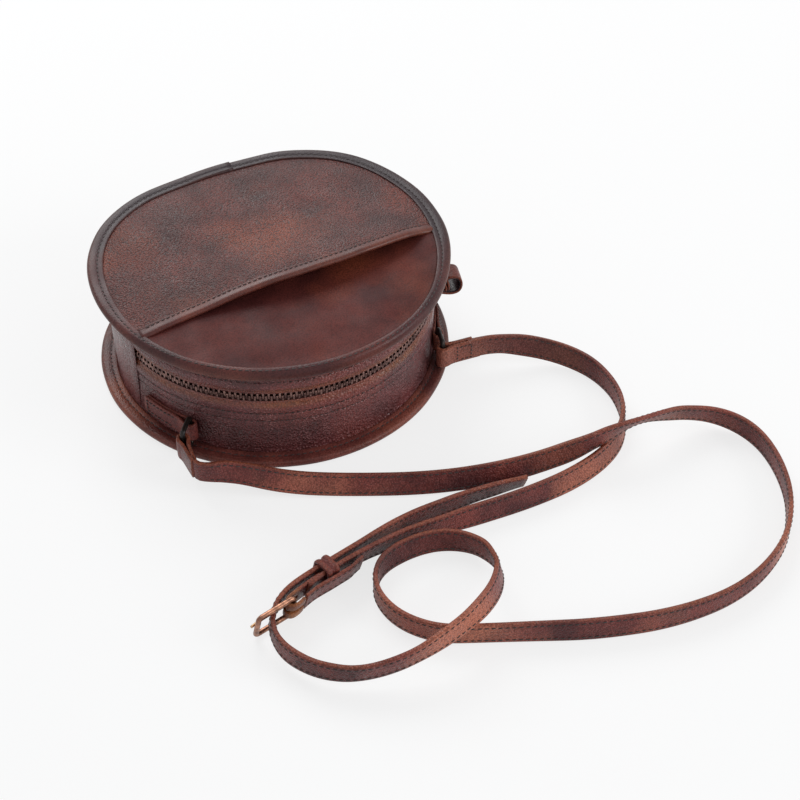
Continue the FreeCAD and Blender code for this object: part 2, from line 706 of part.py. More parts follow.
def make_cylinder(name, radius, height, x, y, z, angle="360", heading=0):
    cylinder = doc.addObject("Part::Cylinder", name)
    bind(cylinder, Radius=radius, Height=height, Angle=angle)
    middle = z - amount(height) / 2
    cylinder.Placement = Placement(Vector(x, y, middle), Rotation(Vector(0, 0, 1), heading))
    return cylinder


def join(kind, name, base, tool):
    result = doc.addObject("Part::" + kind, name)
    result.Label = name
    result.Base = base
    result.Tool = tool
    return result


def make_straps():
    x, y, z = (amount(name) for name in ("buckle_x", "buckle_y", "buckle_height"))
    start = amount("buckle_heading") - amount("prong_angle") - 8 * amount("slot_side_angle")
    slot = make_cylinder("prong_slot", "slot_reach", "prong_thickness + 4 * fit_gap", x, y, z,
                         "prong_angle + 9 * slot_side_angle", start)
    join("Cut", "long_strap", make_strap("long_strap_tube", LONG_ROUTE), slot)
    boss = make_cylinder("chape_boss", "chape_boss", "strap_width", x, y, z)
    bore = make_cylinder("chape_bore", "buckle_wire / 2 + fit_gap", "depth", x, y, z)
    notch = make_cylinder("chape_notch", "prong_ring + fit_gap", "prong_height + 2 * fit_gap", x, y, z)
    folded = join("Fuse", "chape_fold", make_strap("short_strap_tube", SHORT_ROUTE), boss)
    bored = join("Cut", "chape_bored", folded, bore)
    join("Cut", "short_strap", bored, notch)


def make_sides():
    """Everything on the bag's side of the crease, and everything on the lifting side."""
    boxes = []
    reach = "outline_radius + overrun"
    for name, length, y in (("bag_side", f"crease_distance + {reach}", "-(crease_distance)"),
                            ("flap_side", f"{reach} - crease_distance - fit_gap", f"-({reach})")):
        box = doc.addObject("Part::Box", name)
        bind(box, Length=f"2 * ({reach})", Width=length, Height="depth + 2 * overrun")
        box.Placement = Placement(Vector(-amount(reach), amount(y), -amount("overrun")), Rotation())
        boxes.append(box)
    return boxes


bindings = make_bindings()
panels = make_panels()
make_pocket()
front_gusset = make_gussets()
front_lining = make_linings()
front_rows = make_zip_rows()
make_slider()
make_pull()
make_grip()
make_strap_hardware()
make_buckle()
make_straps()
bag_side, flap_side = make_sides()
for whole in (bindings[1], panels[1], front_gusset, front_lining, *front_rows):
    piece = whole.Name.replace("_whole", "")
    fixed = piece if whole in (bindings[1], panels[1], front_lining) else piece + "_ends"
    join("Common", fixed, whole, bag_side)
    join("Common", piece + "_flap", whole, flap_side)
doc.recompute()

NODES = [item for item in doc.Objects
         if (item.TypeId == "PartDesign::Body" and not item.Name.endswith("_whole"))
         or item.TypeId == "Part::Common" or item.Name in ("long_strap", "short_strap")]
failed = [item.Name for item in doc.Objects if {"Invalid", "Error"} & set(item.State)]
for node in NODES:
    if node.Shape.isNull() or not node.Shape.isValid() or not node.Shape.Solids:
        failed.append(node.Name)
if failed:
    raise RuntimeError("failed: " + ", ".join(failed))
os.makedirs("parts", exist_ok=True)
for node in NODES:
    node.Shape.exportStep(f"parts/{node.Label}.step")
    box = node.Shape.BoundBox
    print(node.Label, len(node.Shape.Solids), round(node.Shape.Volume), [round(edge, 1) for edge in (
        box.XMin, box.XMax, box.YMin, box.YMax, box.ZMin, box.ZMax)])
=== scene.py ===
import math
import random

import bmesh
import bpy
from mathutils import Matrix, Vector, noise


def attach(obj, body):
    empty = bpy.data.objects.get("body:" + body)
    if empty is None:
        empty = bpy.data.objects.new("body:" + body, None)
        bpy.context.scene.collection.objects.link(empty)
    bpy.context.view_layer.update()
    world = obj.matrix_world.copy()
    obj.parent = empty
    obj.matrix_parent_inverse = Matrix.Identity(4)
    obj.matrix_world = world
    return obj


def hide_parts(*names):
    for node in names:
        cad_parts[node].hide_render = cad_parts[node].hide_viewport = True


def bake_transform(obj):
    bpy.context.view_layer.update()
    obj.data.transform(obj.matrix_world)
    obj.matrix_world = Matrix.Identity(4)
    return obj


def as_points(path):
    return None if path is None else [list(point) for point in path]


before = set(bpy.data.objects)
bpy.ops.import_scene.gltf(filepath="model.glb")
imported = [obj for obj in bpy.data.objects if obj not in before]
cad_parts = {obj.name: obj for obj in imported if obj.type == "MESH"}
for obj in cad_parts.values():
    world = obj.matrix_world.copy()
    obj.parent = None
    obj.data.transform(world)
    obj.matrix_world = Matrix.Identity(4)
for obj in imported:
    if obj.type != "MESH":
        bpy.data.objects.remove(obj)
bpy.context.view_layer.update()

# Dressed model of a round leather shoulder bag lying on its back, in metres, in the frame of the solids.
# +Z points out of the bag's face, -Y to the worn top with the zip, +X to the ring on the right.
UP = Vector((0, 0, 1))

# Outline of both panels: a large circle, two corner arcs and a flat bottom arc.
OUTLINE_RADIUS = 0.1
CORNER_RADIUS = 0.073
BOTTOM_RADIUS = 0.25
CORNER_START = math.radians(24.34)
OUTLINE_STEP = 0.0028
SEWN_WAVE = 0.0011
SEWN_WAVE_SCALE = 38
# Shares of the waviness outward and upward; the second grows from the floor at this rate.
SEWN_WAVE_OUT = 0.35
SEWN_WAVE_UP = 0.2
SEWN_WAVE_GROWTH = 20

# Shell.
DEPTH = 0.071
BINDING_WIDTH = 0.009
BINDING_HALF = 0.0023
FLOOR_GAP = 0.0001
CREASE_Y = -0.036
CREASE_HALF = 0.007
SHEET_STEP = 0.003
SHEET_COLUMNS = 32
SHEET_CROWDING = 0.35
BACK_HEIGHT = 0.0004
BACK_WAVE = 0.0002
BACK_WAVE_SCALE = 30
LINING_STEP = 0.004
LINING_INSET = 0.0117
LINING_FOOT = 0.003
LINING_HEIGHT = 0.0645
ZIP_LINING_HEIGHT = 0.029
LINING_RIPPLE = 0.0002
LINING_RIPPLE_TURN = 2.1
BACK_LINING = 0.0028
FRONT_LINING = 0.0682
PUCKER = 0.0006
PUCKER_SCALE = 60

# Half of the folded strip round an edge, from its sewn end to its rim: inset, height off the middle, wear.
STRIP_FLAT = [(0.009, 0.0014, 0.2), (0.00905, 0.002, 0.35), (0.0087, 0.00235, 0.15), (0.0076, 0.0024, 0),
              (0.0064, 0.00225, 0), (0.0058, 0.00205, 0), (0.0052, 0.00225, 0), (0.0039, 0.00245, 0.05),
              (0.002, 0.0024, 0.15), (0.0008, 0.0019, 0.3), (0.0002, 0.001, 0.25), (0, 0, 0.2)]
# Number of its point at the stitch line, and how much it is pressed flat.
STRIP_SEWN = 5
STRIP_SQUEEZE = 0.94
# The same strip where it turns down along the mouth: its upper and its lower half.
STRIP_HUNG_OVER = [(0.0046, 0.0012), (0.00465, 0.0018), (0.0043, 0.0021), (0.0034, 0.0022), (0.0026, 0.0021),
                   (0.0021, 0.00195), (0.0016, 0.0018), (0.0006, 0.0009), (0.0001, -0.0008), (0.0, -0.0024),
                   (0.0003, -0.0036), (0.0011, -0.0041)]
STRIP_HUNG_UNDER = [(0.009, -0.0014), (0.00905, -0.002), (0.0087, -0.00235), (0.0076, -0.0026),
                    (0.0064, -0.0027), (0.0058, -0.0027), (0.0052, -0.0028), (0.0042, -0.003),
                    (0.0032, -0.0034), (0.0024, -0.0038), (0.0018, -0.004)]
HANG_MIDDLE = math.radians(258)
HANG_FULL = math.radians(35)
HANG_NONE = math.radians(90)
LAP = (math.radians(86.9), math.radians(93.5))
LAP_OVERHANG = 0.0007
# The lap's lift fades by a share; it is LAP_LOW as thick as the strip, and LAP_SWELL more where it is lifted.
LAP_FADE = 0.9
LAP_LOW = 0.98
LAP_SWELL = 0.2

# Front panel and pocket. The pocket's open edge bows away from the panel and sags towards the zip there, is
# tilted towards the zip on the left and rises away from it at its right end.
PANEL_INSET = 0.0035
FACE_HEIGHT = 0.0698
FACE_WAVE = 0.0011
FACE_WAVE_SCALE = 26
CROWN = 0.0022
CROWN_REACH = 0.06
FACE_DIP = 0.003
POCKET_EDGE = -0.031
POCKET_TUCK = 0.001
POCKET_GAP = 0.0003
POCKET_THICKNESS = 0.0009
POCKET_SLOPE = 0.008
WRINKLE = 0.0005
WRINKLE_SCALE = 40
POCKET_LIFT = 0.0058
POCKET_SAG = 0.004
POCKET_TILT = 0.0034
POCKET_TILT_SPAN = (0.02, 0.09)
POCKET_RISE = 0.0036
POCKET_RISE_SPAN = (0.035, 0.086)
POCKET_RISE_FADE = (POCKET_EDGE + 0.008, POCKET_EDGE + 0.04)
BOW_MIDDLE = 0.012
BOW_FADE = 0.07
BOW_DEPTH = 0.034
BOW_POWER = 1.4
# Section of the trim on the open edge: inward, lift, wear.
TRIM_SECTION = [(0.0072, -0.0006, 0.3), (0.0073, 0.0004, 0.5), (0.0066, 0.0009, 0.3), (0.0056, 0.0007, 0.1),
                (0.0044, 0.0011, 0.2), (0.0026, 0.0014, 0.35), (0.001, 0.0013, 0.6), (0.0, 0.0006, 0.7),
                (-0.0003, -0.0004, 0.6), (0.0002, -0.0014, 0.3), (0.0014, -0.0018, 0.1), (0.004, -0.0016, 0)]
TRIM_STEPS = 45
TRIM_LEFT_INSET = 0.0052
TRIM_RIGHT_INSET = 0.0078
TRIM_STITCH = (0.0056, 0.0008)
TRIM_MIDDLE_WEAR = 0.45

# Walls. The foot is where a wall turns out to its flange: inset and rise.
WALL_LOW = 2 * BINDING_HALF
WALL_HIGH = DEPTH - 2 * BINDING_HALF
WALL_INSET = 0.0094
WALL_BULGE = 0.0007
WALL_FOOT = [(0.0088, -0.002), (0.009, -0.0008), (0.0093, 0.0006), (0.0095, 0.0025)]
WALL_OVERLAP = 0.03
WALL_STEP = 0.003
WALL_PARTS = 8
SEAM_STEP = 0.0015
SEAM_ROWS = 16
SEAM_REACH = 0.045
SEAM_HOLD = 0.02
SEAM_BOW = 0.03
SEAM_LIFT = 0.0005
SEAM_LIFT_POWER = 0.4
SEAM_GAP = 0.0002
SEAM_MARGIN = 0.0015

# Zip.
ZIP_HEIGHT = 0.044
ZIP_START = math.radians(187)
ZIP_END = math.radians(353)
STITCH_FROM_ZIP = 0.0114
SECOND_STITCH_FROM_ZIP = 0.0166
BAND_STITCH_INSET = 0.0095
BAND_OVERLAP = 0.012
# Sections of the bands: distance from the zip, inset, wear.
BACK_BAND = [(ZIP_HEIGHT - WALL_LOW - 0.0025, 0.0095, 0), (0.027, 0.0092, 0), (0.021, 0.0091, 0),
             (0.0174, 0.0092, 0), (SECOND_STITCH_FROM_ZIP, 0.0096, 0), (0.0158, 0.009, 0)]
FRONT_BAND = [(WALL_HIGH - ZIP_HEIGHT - 0.0025, 0.0094, 0), (0.0165, 0.0092, 0)]
LIP = [(0.0122, 0.009, 0), (STITCH_FROM_ZIP, 0.0097, 0), (0.0106, 0.009, 0), (0.009, 0.0086, 0),
       (0.0072, 0.0086, 0.1), (0.0057, 0.0091, 0.8), (0.0046, 0.0098, 1), (0.0028, 0.0101, 0.5),
       (0.0029, 0.0106, 0), (0.004, 0.0109, 0), (0.008, 0.0109, 0)]
# Section of a tape: distance from the zip's middle, inset from the circle of the teeth.
TAPE_SECTION = [(0.0118, 0.0003), (0.008, 0.0), (0.004, 0.0001), (0.002, 0.0002), (0.0008, 0.0004),
                (0.0003, 0.0007), (0.0008, 0.001), (0.002, 0.0011), (0.004, 0.001), (0.008, 0.0009),
                (0.0118, 0.0009)]
TAPE_START = 0.01
TOOTH_ROW_RADIUS = 0.0887
TOOTH_PITCH = 0.0029
TOOTH_LENGTH = 0.0035
TOOTH_WIDTH = 0.00132
TOOTH_FOOT_DEPTH = 0.0024
TOOTH_TIP_DEPTH = 0.0028
TOOTH_FOOT = 0.0026
TOOTH_BEVEL = 0.0004
TEETH_ANGLE = math.radians(160)
SLIDER_ANGLE = math.radians(-14)
# Blocks of the slider: size, distance from the bag's middle, bevel.
SLIDER_BLOCKS = [
    ((0.009, 0.0012, 0.0084), 0.0915, 0.0005),
    ((0.0066, 0.0008, 0.0052), 0.0924, 0.0004),
    ((0.009, 0.0012, 0.0084), 0.0865, 0.0005),
    ((0.0024, 0.0034, 0.0022), 0.0938, 0.0007),
]
PIN_RADIUS = 0.094
PULL_HEADING = SLIDER_ANGLE - math.pi / 2
PULL_SIZE = (0.007, 0.0045, 0.0012)
PULL_WIRE = 0.00075
PULL_TAB_WIDTH = 0.0072
PULL_TAB_THICKNESS = 0.0012
# The tab narrows by a share over its last centimetre.
PULL_TAB_NARROWS_FROM = 0.009
PULL_TAB_NARROWS_OVER = 0.01
PULL_TAB_NARROWING = 0.62
# Leather tab folded round the pull's wire: along, aside.
PULL_ROUTE = [(0.018, 0.002), (0.01, 0.0017), (0.004, 0.0013), (0.0012, 0.0016), (-0.0012, 0.0016),
              (-0.0021, 0), (-0.0012, -0.0016), (0.0012, -0.0016), (0.004, -0.0007), (0.01, -0.0001),
              (0.019, 0.0001)]
GRIP_ANGLE = math.radians(-17)
GRIP_HEIGHT = ZIP_HEIGHT - 0.011
GRIP_WIDTH = 0.012
GRIP_THICKNESS = 0.0014
GRIP_MIDDLE = 0.1015
# Dark strip on the loop's inside: its flesh side, darkened further as painted shade inside the loop.
GRIP_FLESH_FROM = 0.096
GRIP_FLESH_IN = 0.0009
GRIP_FLESH_WIDTH = GRIP_WIDTH - 0.0004
GRIP_FLESH_THICKNESS = 0.0006
# Upper half of the grip loop, from the wall out: distance from the bag's middle, rise.
GRIP_HALF = [(0.0908, 0.0034), (0.0945, 0.0038), (0.0985, 0.0054), (0.103, 0.0062), (0.107, 0.0048)]
GRIP_FAR_END = 0.1084

# Strap hardware.
RING_HEIGHT = 0.0156
RING_WIRE = 0.0014
# An oblong of wire: reach, half height, radius of its corners.
RING_SIZE = (0.013, 0.0091, 0.0024)
BUCKLE_SIZE = (0.021, 0.0088, 0.0022)
CORNER_PARTS = 6
BAR_RADIUS = 0.0939
TAB_HEIGHT = 0.011
TAB_THICKNESS = 0.0016
TAB_RISE = 0.05
# Tab folded round the ring's bar: run along the wall, distance from the bag's middle.
TAB_ROUTE = [(0.027, 0.0917), (0.02, 0.0917), (0.012, 0.0917), (0.005, 0.0916), (0.0012, 0.0914),
             (-0.0024, 0.0922), (-0.0029, 0.0942), (-0.0018, 0.0964), (0.0012, 0.0965), (0.005, 0.0942),
             (0.01, 0.0934), (0.018, 0.0934), (0.0275, 0.0934)]
# A box of stitches: run, level in half heights.
TAB_BOX = [(0.0075, -1), (0.0075, 1), (0.0255, 1), (0.0255, -1), (0.0075, -1)]
TAB_BOX_RADIUS = 0.0943
TAB_BOX_HALF = 0.33 * TAB_HEIGHT
# Tabs: side, direction of the ring's bar, way and stretch of the run, heading of the ring.
TABS = [
    ("left", math.radians(-144), -1.18, math.radians(230)),
    ("right", math.radians(-36), 1, math.radians(254)),
]
STRAP_WIDTH = 0.013
STRAP_THICKNESS = 0.0025
# Front face and top edge of a strap's section: aside and up in half sizes, wear.
STRAP_FRONT = [(0.86, -0.97, 0.75), (0.97, -0.86, 0.12), (0.9, -0.7, 0), (0.99, -0.55, 0), (1.03, 0, 0),
               (0.99, 0.55, 0), (0.9, 0.7, 0), (0.97, 0.86, 0.12), (0.86, 0.97, 0.75), (0.45, 1, 1),
               (-0.45, 1, 1)]
STRAP_STEP = 0.0024
STRAP_STITCH = 0.00034
# Stitch rows from the middle of a strap: in thicknesses and in widths.
STITCHES_ASIDE = 0.45
STITCHES_UP = 0.35
HOLE_SPACING = 0.025
HOLE_FIRST = 0.022
HOLE_COUNT = 9
HOLE_RADIUS = 0.0013
# A hole from its middle to its rim: radius in hole radii, lift in thicknesses of the strap.
HOLE_RINGS = [(0.05, 0.4738), (0.9, 0.4738), (1, 0.5459), (1.25, 0.515)]
LOOP_LENGTH = 0.018
LOOP_THICKNESS = 0.0021
LOOP_HIDES = 0.75
LONG_LOOP_HEADING = math.radians(263)
SHORT_LOOP_HEADING = math.radians(353)
# Sewn loop round the ring's wire: along, aside. Its inner end runs into the strap or lies beside it.
LOOP_ROUTE = [(LOOP_LENGTH, 0.0013), (0.012, 0.0013), (0.007, 0.0013), (0.0038, 0.0017), (0.0014, 0.0028),
              (-0.0016, 0.0026), (-0.003, 0.0), (-0.0016, -0.0026), (0.0014, -0.0028), (0.0038, -0.0017),
              (0.007, -0.0013)]
LOOP_MERGED_END = [(0.012, -0.0008), (LOOP_LENGTH, 0.0)]
LOOP_LAID_END = [(0.012, -0.0013), (LOOP_LENGTH + 0.004, -0.0013)]
LOOP_BOX = [(0.008, -1), (0.008, 1), (0.0165, 1), (0.0165, -1), (0.008, -1)]
LOOP_BOX_HALF = 0.36 * STRAP_WIDTH
LOOP_BOX_ASIDE = 0.0024
BUCKLE_PLACE = Vector((-0.0795, -0.1875, 0.0103))
BUCKLE_HEADING = math.radians(191)
BUCKLE_LEAN = (0.05, -0.27)
BUCKLE_UP = Vector((*BUCKLE_LEAN, 1)).normalized()
PRONG_RADIUS = 0.00105
PRONG_EYE = 0.00235
PRONG_TAPER = 0.35
PRONG_ROUTE = [(0.004, 0.0026), (0.01, 0.0027), (0.016, 0.0026), (0.02, 0.0024), (0.0233, 0.0019)]
# Sleeve of the prong: radius, height.
SLEEVE_RINGS = [(0.00145, -0.00155), (0.0024, -0.0016), (0.00275, -0.00125), (0.00275, 0.00125),
                (0.0024, 0.0016), (0.00145, 0.00155)]
KEEPER_PLACE = Vector((-0.055, -0.1754, 0.0103))
KEEPER_HEADING = math.radians(11)
KEEPER_LENGTH = 0.007
KEEPER_HALF_ASIDE = 0.0052
KEEPER_HALF_UP = 0.0077
KEEPER_CORNER = 0.0022
KEEPER_THICKNESS = 0.0012
KEEPER_SINK = 0.0005
# Section of the keeper: share of its length, lift in thicknesses, wear.
KEEPER_SECTION = [
    (-0.52, 0.1, 0.1), (-0.54, 0.8, 0.1), (-0.46, 1.4, 0.6), (-0.3, 1.5, 0.6), (-0.14, 1.2, 0.1),
    (0, 0.5, 0.1), (0.14, 1.2, 0.1), (0.3, 1.5, 0.6), (0.46, 1.4, 0.6), (0.54, 0.8, 0.1), (0.52, 0.1, 0.1),
    (0.4, -0.1, 0.1), (-0.4, -0.1, 0.1),
]

# Routes of the straps, at the middle of their section.
LONG_ROUTE = [
    (-0.0843, -0.0652, 0.0156), (-0.0866, -0.0831, 0.0156), (-0.0828, -0.0885, 0.0156),
    (-0.069, -0.093, 0.0146), (-0.0455, -0.1088, 0.0086), (-0.0185, -0.1235, 0.0068),
    (0.0237, -0.1447, 0.0068), (0.0612, -0.1565, 0.0078), (0.091, -0.163, 0.0118),
    (0.112, -0.168, 0.0192), (0.138, -0.168, 0.0218), (0.164, -0.168, 0.015),
    (0.186, -0.1755, 0.009), (0.1965, -0.195, 0.0068), (0.193, -0.221, 0.0068),
    (0.1812, -0.247, 0.0068), (0.1595, -0.2695, 0.0068), (0.1245, -0.283, 0.0068),
    (0.085, -0.281, 0.0068), (0.047, -0.2685, 0.0068), (0.02, -0.2555, 0.0068),
    (-0.004, -0.244, 0.0068), (-0.024, -0.234, 0.0068), (-0.037, -0.216, 0.0068),
    (-0.0385, -0.1955, 0.0068), (-0.028, -0.1815, 0.0068), (-0.0075, -0.1778, 0.0068),
    (0.0115, -0.182, 0.0068), (0.024, -0.195, 0.0074), (0.024, -0.213, 0.0115),
    (0.0145, -0.228, 0.018), (0.001, -0.239, 0.0216), (-0.019, -0.2465, 0.0216),
    (-0.045, -0.248, 0.0156), (-0.069, -0.2415, 0.0106), (-0.085, -0.2298, 0.0103),
    (-0.0932, -0.2165, 0.0103), (-0.0958, -0.2055, 0.0103), (-0.094, -0.1948, 0.0103),
    (-0.089, -0.186, 0.0103), (-0.0805, -0.1795, 0.0103), (-0.0692, -0.17565, 0.0103),
    (-0.0368, -0.16935, 0.0103), (-0.018, -0.165, 0.0087), (0.002, -0.1625, 0.0071),
    (0.023, -0.1618, 0.0068), (0.046, -0.1628, 0.0068), (0.0675, -0.166, 0.0068),
]
SHORT_ROUTE = [
    (0.0724, -0.0677, 0.0156), (0.0904, -0.07, 0.0156), (0.106, -0.0738, 0.0153),
    (0.124, -0.0808, 0.0108), (0.139, -0.093, 0.0074), (0.1475, -0.111, 0.0068),
    (0.1475, -0.134, 0.0068), (0.138, -0.1555, 0.0068), (0.119, -0.17, 0.0068),
    (0.092, -0.177, 0.0068), (0.062, -0.1775, 0.0068), (0.034, -0.175, 0.0068),
    (0.008, -0.172, 0.0068), (-0.014, -0.1718, 0.0086), (-0.0358, -0.17415, 0.0103),
    (-0.0662, -0.1801, 0.0103), (-0.0772, -0.1862, 0.0103),
]
# How the straps lean: number of the route's point, lean in x, lean in y.
LONG_LEANS = [
    (0, 0, 0), (2, 0, 0), (3, 0.1, 0.25), (4, 0.12, 0.42), (6, 0.1, 0.4), (7, 0.08, 0.38), (8, 0, 0.25),
    (9, -0.08, -0.1), (10, -0.25, -0.65), (11, -0.15, -0.3), (13, 0, 0), (17, 0, 0), (19, -0.05, 0.15),
    (21, 0, 0), (24, 0, 0), (26, 0, 0.25), (27, 0.05, 0.25), (28, 0, 0.1), (29, -0.2, 0.12), (30, -0.2, 0.2),
    (31, -0.2, 0.2), (32, -0.1, 0.05), (33, 0, -0.15), (34, 0, -0.2), (35, 0, -0.1), (37, 0, 0),
    (39, *BUCKLE_LEAN), (42, *BUCKLE_LEAN), (44, 0, 0), (45, 0, -0.1), (46, 0, -0.25), (47, 0, -0.45),
]
SHORT_LEANS = [
    (0, 0, 0), (2, 0, 0), (3, 0.1, 0.3), (4, 0.2, 0.25), (6, 0, 0), (8, -0.15, 0.25), (9, -0.1, 0.35),
    (11, 0, 0.25), (12, 0, 0), (14, *BUCKLE_LEAN), (16, *BUCKLE_LEAN),
]
# The short strap's end goes round the buckle's bar and back on the outside, over the keeper: x and y.
CHAPE_ROUTE = [
    (-0.0605, -0.1786), (-0.066, -0.1797), (-0.072, -0.1815), (-0.0775, -0.1832), (-0.0815, -0.1849),
    (-0.0832, -0.188), (-0.0812, -0.1909), (-0.0775, -0.1906), (-0.072, -0.1877), (-0.066, -0.1855),
    (-0.06, -0.1844), (-0.054, -0.1835), (-0.048, -0.1822), (-0.0435, -0.1814), (-0.04, -0.1795),
    (-0.0365, -0.1782),
]
CHAPE_HEIGHT = 0.0103
CHAPE_SLOT = -0.0735
CHAPE_OVERLAP = 0.001
CHAPE_THICKNESS = 0.0018
CHAPE_STRIP_WIDTH = 0.0048
CHAPE_STRIP_RISE = 0.0041
FOLD_STEP = 0.0008

# A stitch from end to end: place in lengths, swelling and lift in radii.
STITCH_SHAPE = [(-0.5, 0.35, -0.7), (-0.34, 0.95, 0.1), (0, 1.1, 0.3), (0.34, 0.95, 0.1), (0.5, 0.35, -0.7)]
STITCH_SIDES = 6
STITCH_STRAY = 0.05

# Camera and light of the photograph.
CAMERA_PLACE = Vector((-0.29734, -0.70586, 0.68874))
CAMERA_LOOK = Vector((0.34099, 0.63535, -0.69286))
CAMERA_LENS = 79.895
CAMERA_SENSOR = 36
LAMP_TARGET = Vector((0.03, -0.08, 0))
# Lamps: name, place, size, power.
LAMPS = [("window", (0.15, 1.5, 1.35), 1.5, 23), ("fill", (1.3, -1.2, 0.75), 1.0, 13)]
SKY_COLOUR = (0.96, 0.98, 1, 1)
SKY_LIGHT = 0.5
FLOOR_COLOUR = (0.93, 0.93, 0.93, 1)
FLOOR_GLOW = 0.74

# Two bodies and two places for a piece that goes from the first body to the second; it is attached to
# neither.
MOUTH = ("bag", "mouth_flap", (0, CREASE_Y + CREASE_HALF, DEPTH), (0, CREASE_Y - CREASE_HALF, DEPTH))
LONG_END = ("left_ring", "bag", (-0.083, -0.072, RING_HEIGHT), (-0.062, -0.11, RING_HEIGHT))
SHORT_END = ("right_ring", "bag", (0.088, -0.064, RING_HEIGHT), (0.094, -0.088, RING_HEIGHT))


class Paint:
    """Node material under construction; a value is linked if it is a socket, else set on the input."""

    def __init__(self, name, shift=None):
        self.material = bpy.data.materials.new(name)
        self.material.use_nodes = True
        self.tree = self.material.node_tree
        self.shader = self.tree.nodes["Principled BSDF"]
        self.place = self.add("ShaderNodeTexCoord", {}).outputs["Object"]
        self.cloud_place = self.place
        if shift:
            moved = self.add("ShaderNodeMapping", {"Vector": self.place, "Location": shift})
            self.cloud_place = moved.outputs["Vector"]

    def add(self, kind, inputs, **settings):
        node = self.tree.nodes.new(kind)
        for name, value in settings.items():
            setattr(node, name, value)
        self.fill(node, inputs)
        return node

    def fill(self, node, inputs):
        for name, value in inputs.items():
            if isinstance(value, bpy.types.NodeSocket):
                self.tree.links.new(value, node.inputs[name])
            else:
                node.inputs[name].default_value = value

    def noise(self, scale, detail=3.0, roughness=0.55, stretch=None):
        place = self.cloud_place
        if stretch:
            place = self.add("ShaderNodeMapping", {"Vector": place, "Scale": stretch}).outputs["Vector"]
        inputs = {"Vector": place, "Scale": scale, "Detail": detail, "Roughness": roughness}
        return self.add("ShaderNodeTexNoise", inputs).outputs["Fac"]

    def cells(self, scale):
        inputs = {"Vector": self.place, "Scale": scale, "Smoothness": 0.35}
        return self.add("ShaderNodeTexVoronoi", inputs, feature="SMOOTH_F1").outputs["Distance"]

    def range(self, value, low, high, start, end):
        inputs = {"Value": value, "From Min": low, "From Max": high, "To Min": start, "To Max": end}
        return self.add("ShaderNodeMapRange", inputs).outputs["Result"]

    def math(self, operation, first, second):
        node = self.add("ShaderNodeMath", {0: first, 1: second}, operation=operation)
        return node.outputs["Value"]

    def mix(self, share, first, second):
        node = self.add("ShaderNodeMix", {}, data_type="RGBA")
        self.fill(node, {0: share, 6: first, 7: second})
        return node.outputs[2]

    def attribute(self, name):
        return self.add("ShaderNodeAttribute", {}, attribute_name=name).outputs["Fac"]

    def bump(self, height, strength, distance):
        inputs = {"Height": height, "Strength": strength, "Distance": distance}
        return self.add("ShaderNodeBump", inputs).outputs["Normal"]

    def finish(self, **inputs):
        named = {name.replace("_", " "): value for name, value in inputs.items()}
        self.fill(self.shader, named)
        return self.material


def leather(name, deep, tone, burnish, raw, far=None, patch_scale=16, grain_scale=1250, grain=0.5, rough=0.42,
            shine=0.5, glint=0.0, pit=0.45, shift=None):
    """Dyed leather: two browns in clouds, burnished patches, raw colour by the wear attribute, pebbled grain.

    The far colour, if any, is painted shade that takes over towards the worn bottom and the right; glint is
    how pale the tops of the pebbles are made in spots, as painted highlights, pit how dark the hollows
    between them; shift moves the clouds.
    """
    paint = Paint(name, shift)
    clouds = paint.range(paint.noise(patch_scale * 2.3, 4), 0.36, 0.66, 0, 1)
    patches = paint.range(paint.noise(patch_scale, 2.5, 0.5), 0.5, 0.7, 0, 0.85)
    fine = paint.noise(420, 3)
    colour = paint.mix(clouds, (*deep, 1), (*tone, 1))
    colour = paint.mix(patches, colour, (*burnish, 1))
    # Painted shade: the far colour darkens the leather towards the worn bottom and the right.
    if far:
        axes = paint.add("ShaderNodeSeparateXYZ", {"Vector": paint.place}).outputs
        along = paint.math("ADD", paint.math("MULTIPLY", axes["X"], 0.6), axes["Y"])
        colour = paint.mix(paint.range(along, -0.06, 0.03, 0, 0.9), colour, (*far, 1))
    pebbles = paint.cells(grain_scale)
    # Painted highlights: the tops of the pebbles are paled in spots where glints of light would be.
    if glint:
        tops = paint.range(pebbles, 0.08, 0.38, glint, 0)
        glint_spots = paint.math("MULTIPLY", tops, paint.range(paint.noise(70, 4), 0.4, 0.58, 0, 1))
        colour = paint.mix(glint_spots, colour, (*[0.2 + 1.5 * part for part in tone], 1))
    blotches = paint.range(paint.noise(19, 2), 0.4, 0.6, 0.35, 1)
    rubbed = paint.math("MULTIPLY", paint.range(fine, 0.3, 0.7, 0.55, 1), blotches)
    worn = paint.math("MULTIPLY", paint.attribute("wear"), rubbed)
    colour = paint.mix(worn, colour, (*raw, 1))
    pits = paint.range(pebbles, 0.3, 0.75, 0, pit)
    colour = paint.mix(pits, colour, (*[0.3 * part for part in deep], 1))
    height = paint.math("SUBTRACT", paint.math("MULTIPLY", fine, 0.3), pebbles)
    return paint.finish(
        Base_Color=colour,
        Roughness=paint.range(paint.noise(55, 4), 0.3, 0.7, rough - 0.09, rough + 0.12),
        Normal=paint.bump(height, grain, 0.0006),
        Specular_IOR_Level=shine,
    )


def thread(name, colour):
    """Waxed thread with its twist."""
    paint = Paint(name)
    twist = paint.noise(2600, 2, stretch=(1, 1, 0.4))
    pale = tuple(min(1.0, part * 1.9) for part in colour)
    return paint.finish(
        Base_Color=paint.mix(paint.range(twist, 0.35, 0.65, 0, 1), (*colour, 1), (*pale, 1)),
        Roughness=0.55,
        Normal=paint.bump(twist, 0.4, 0.0002),
    )


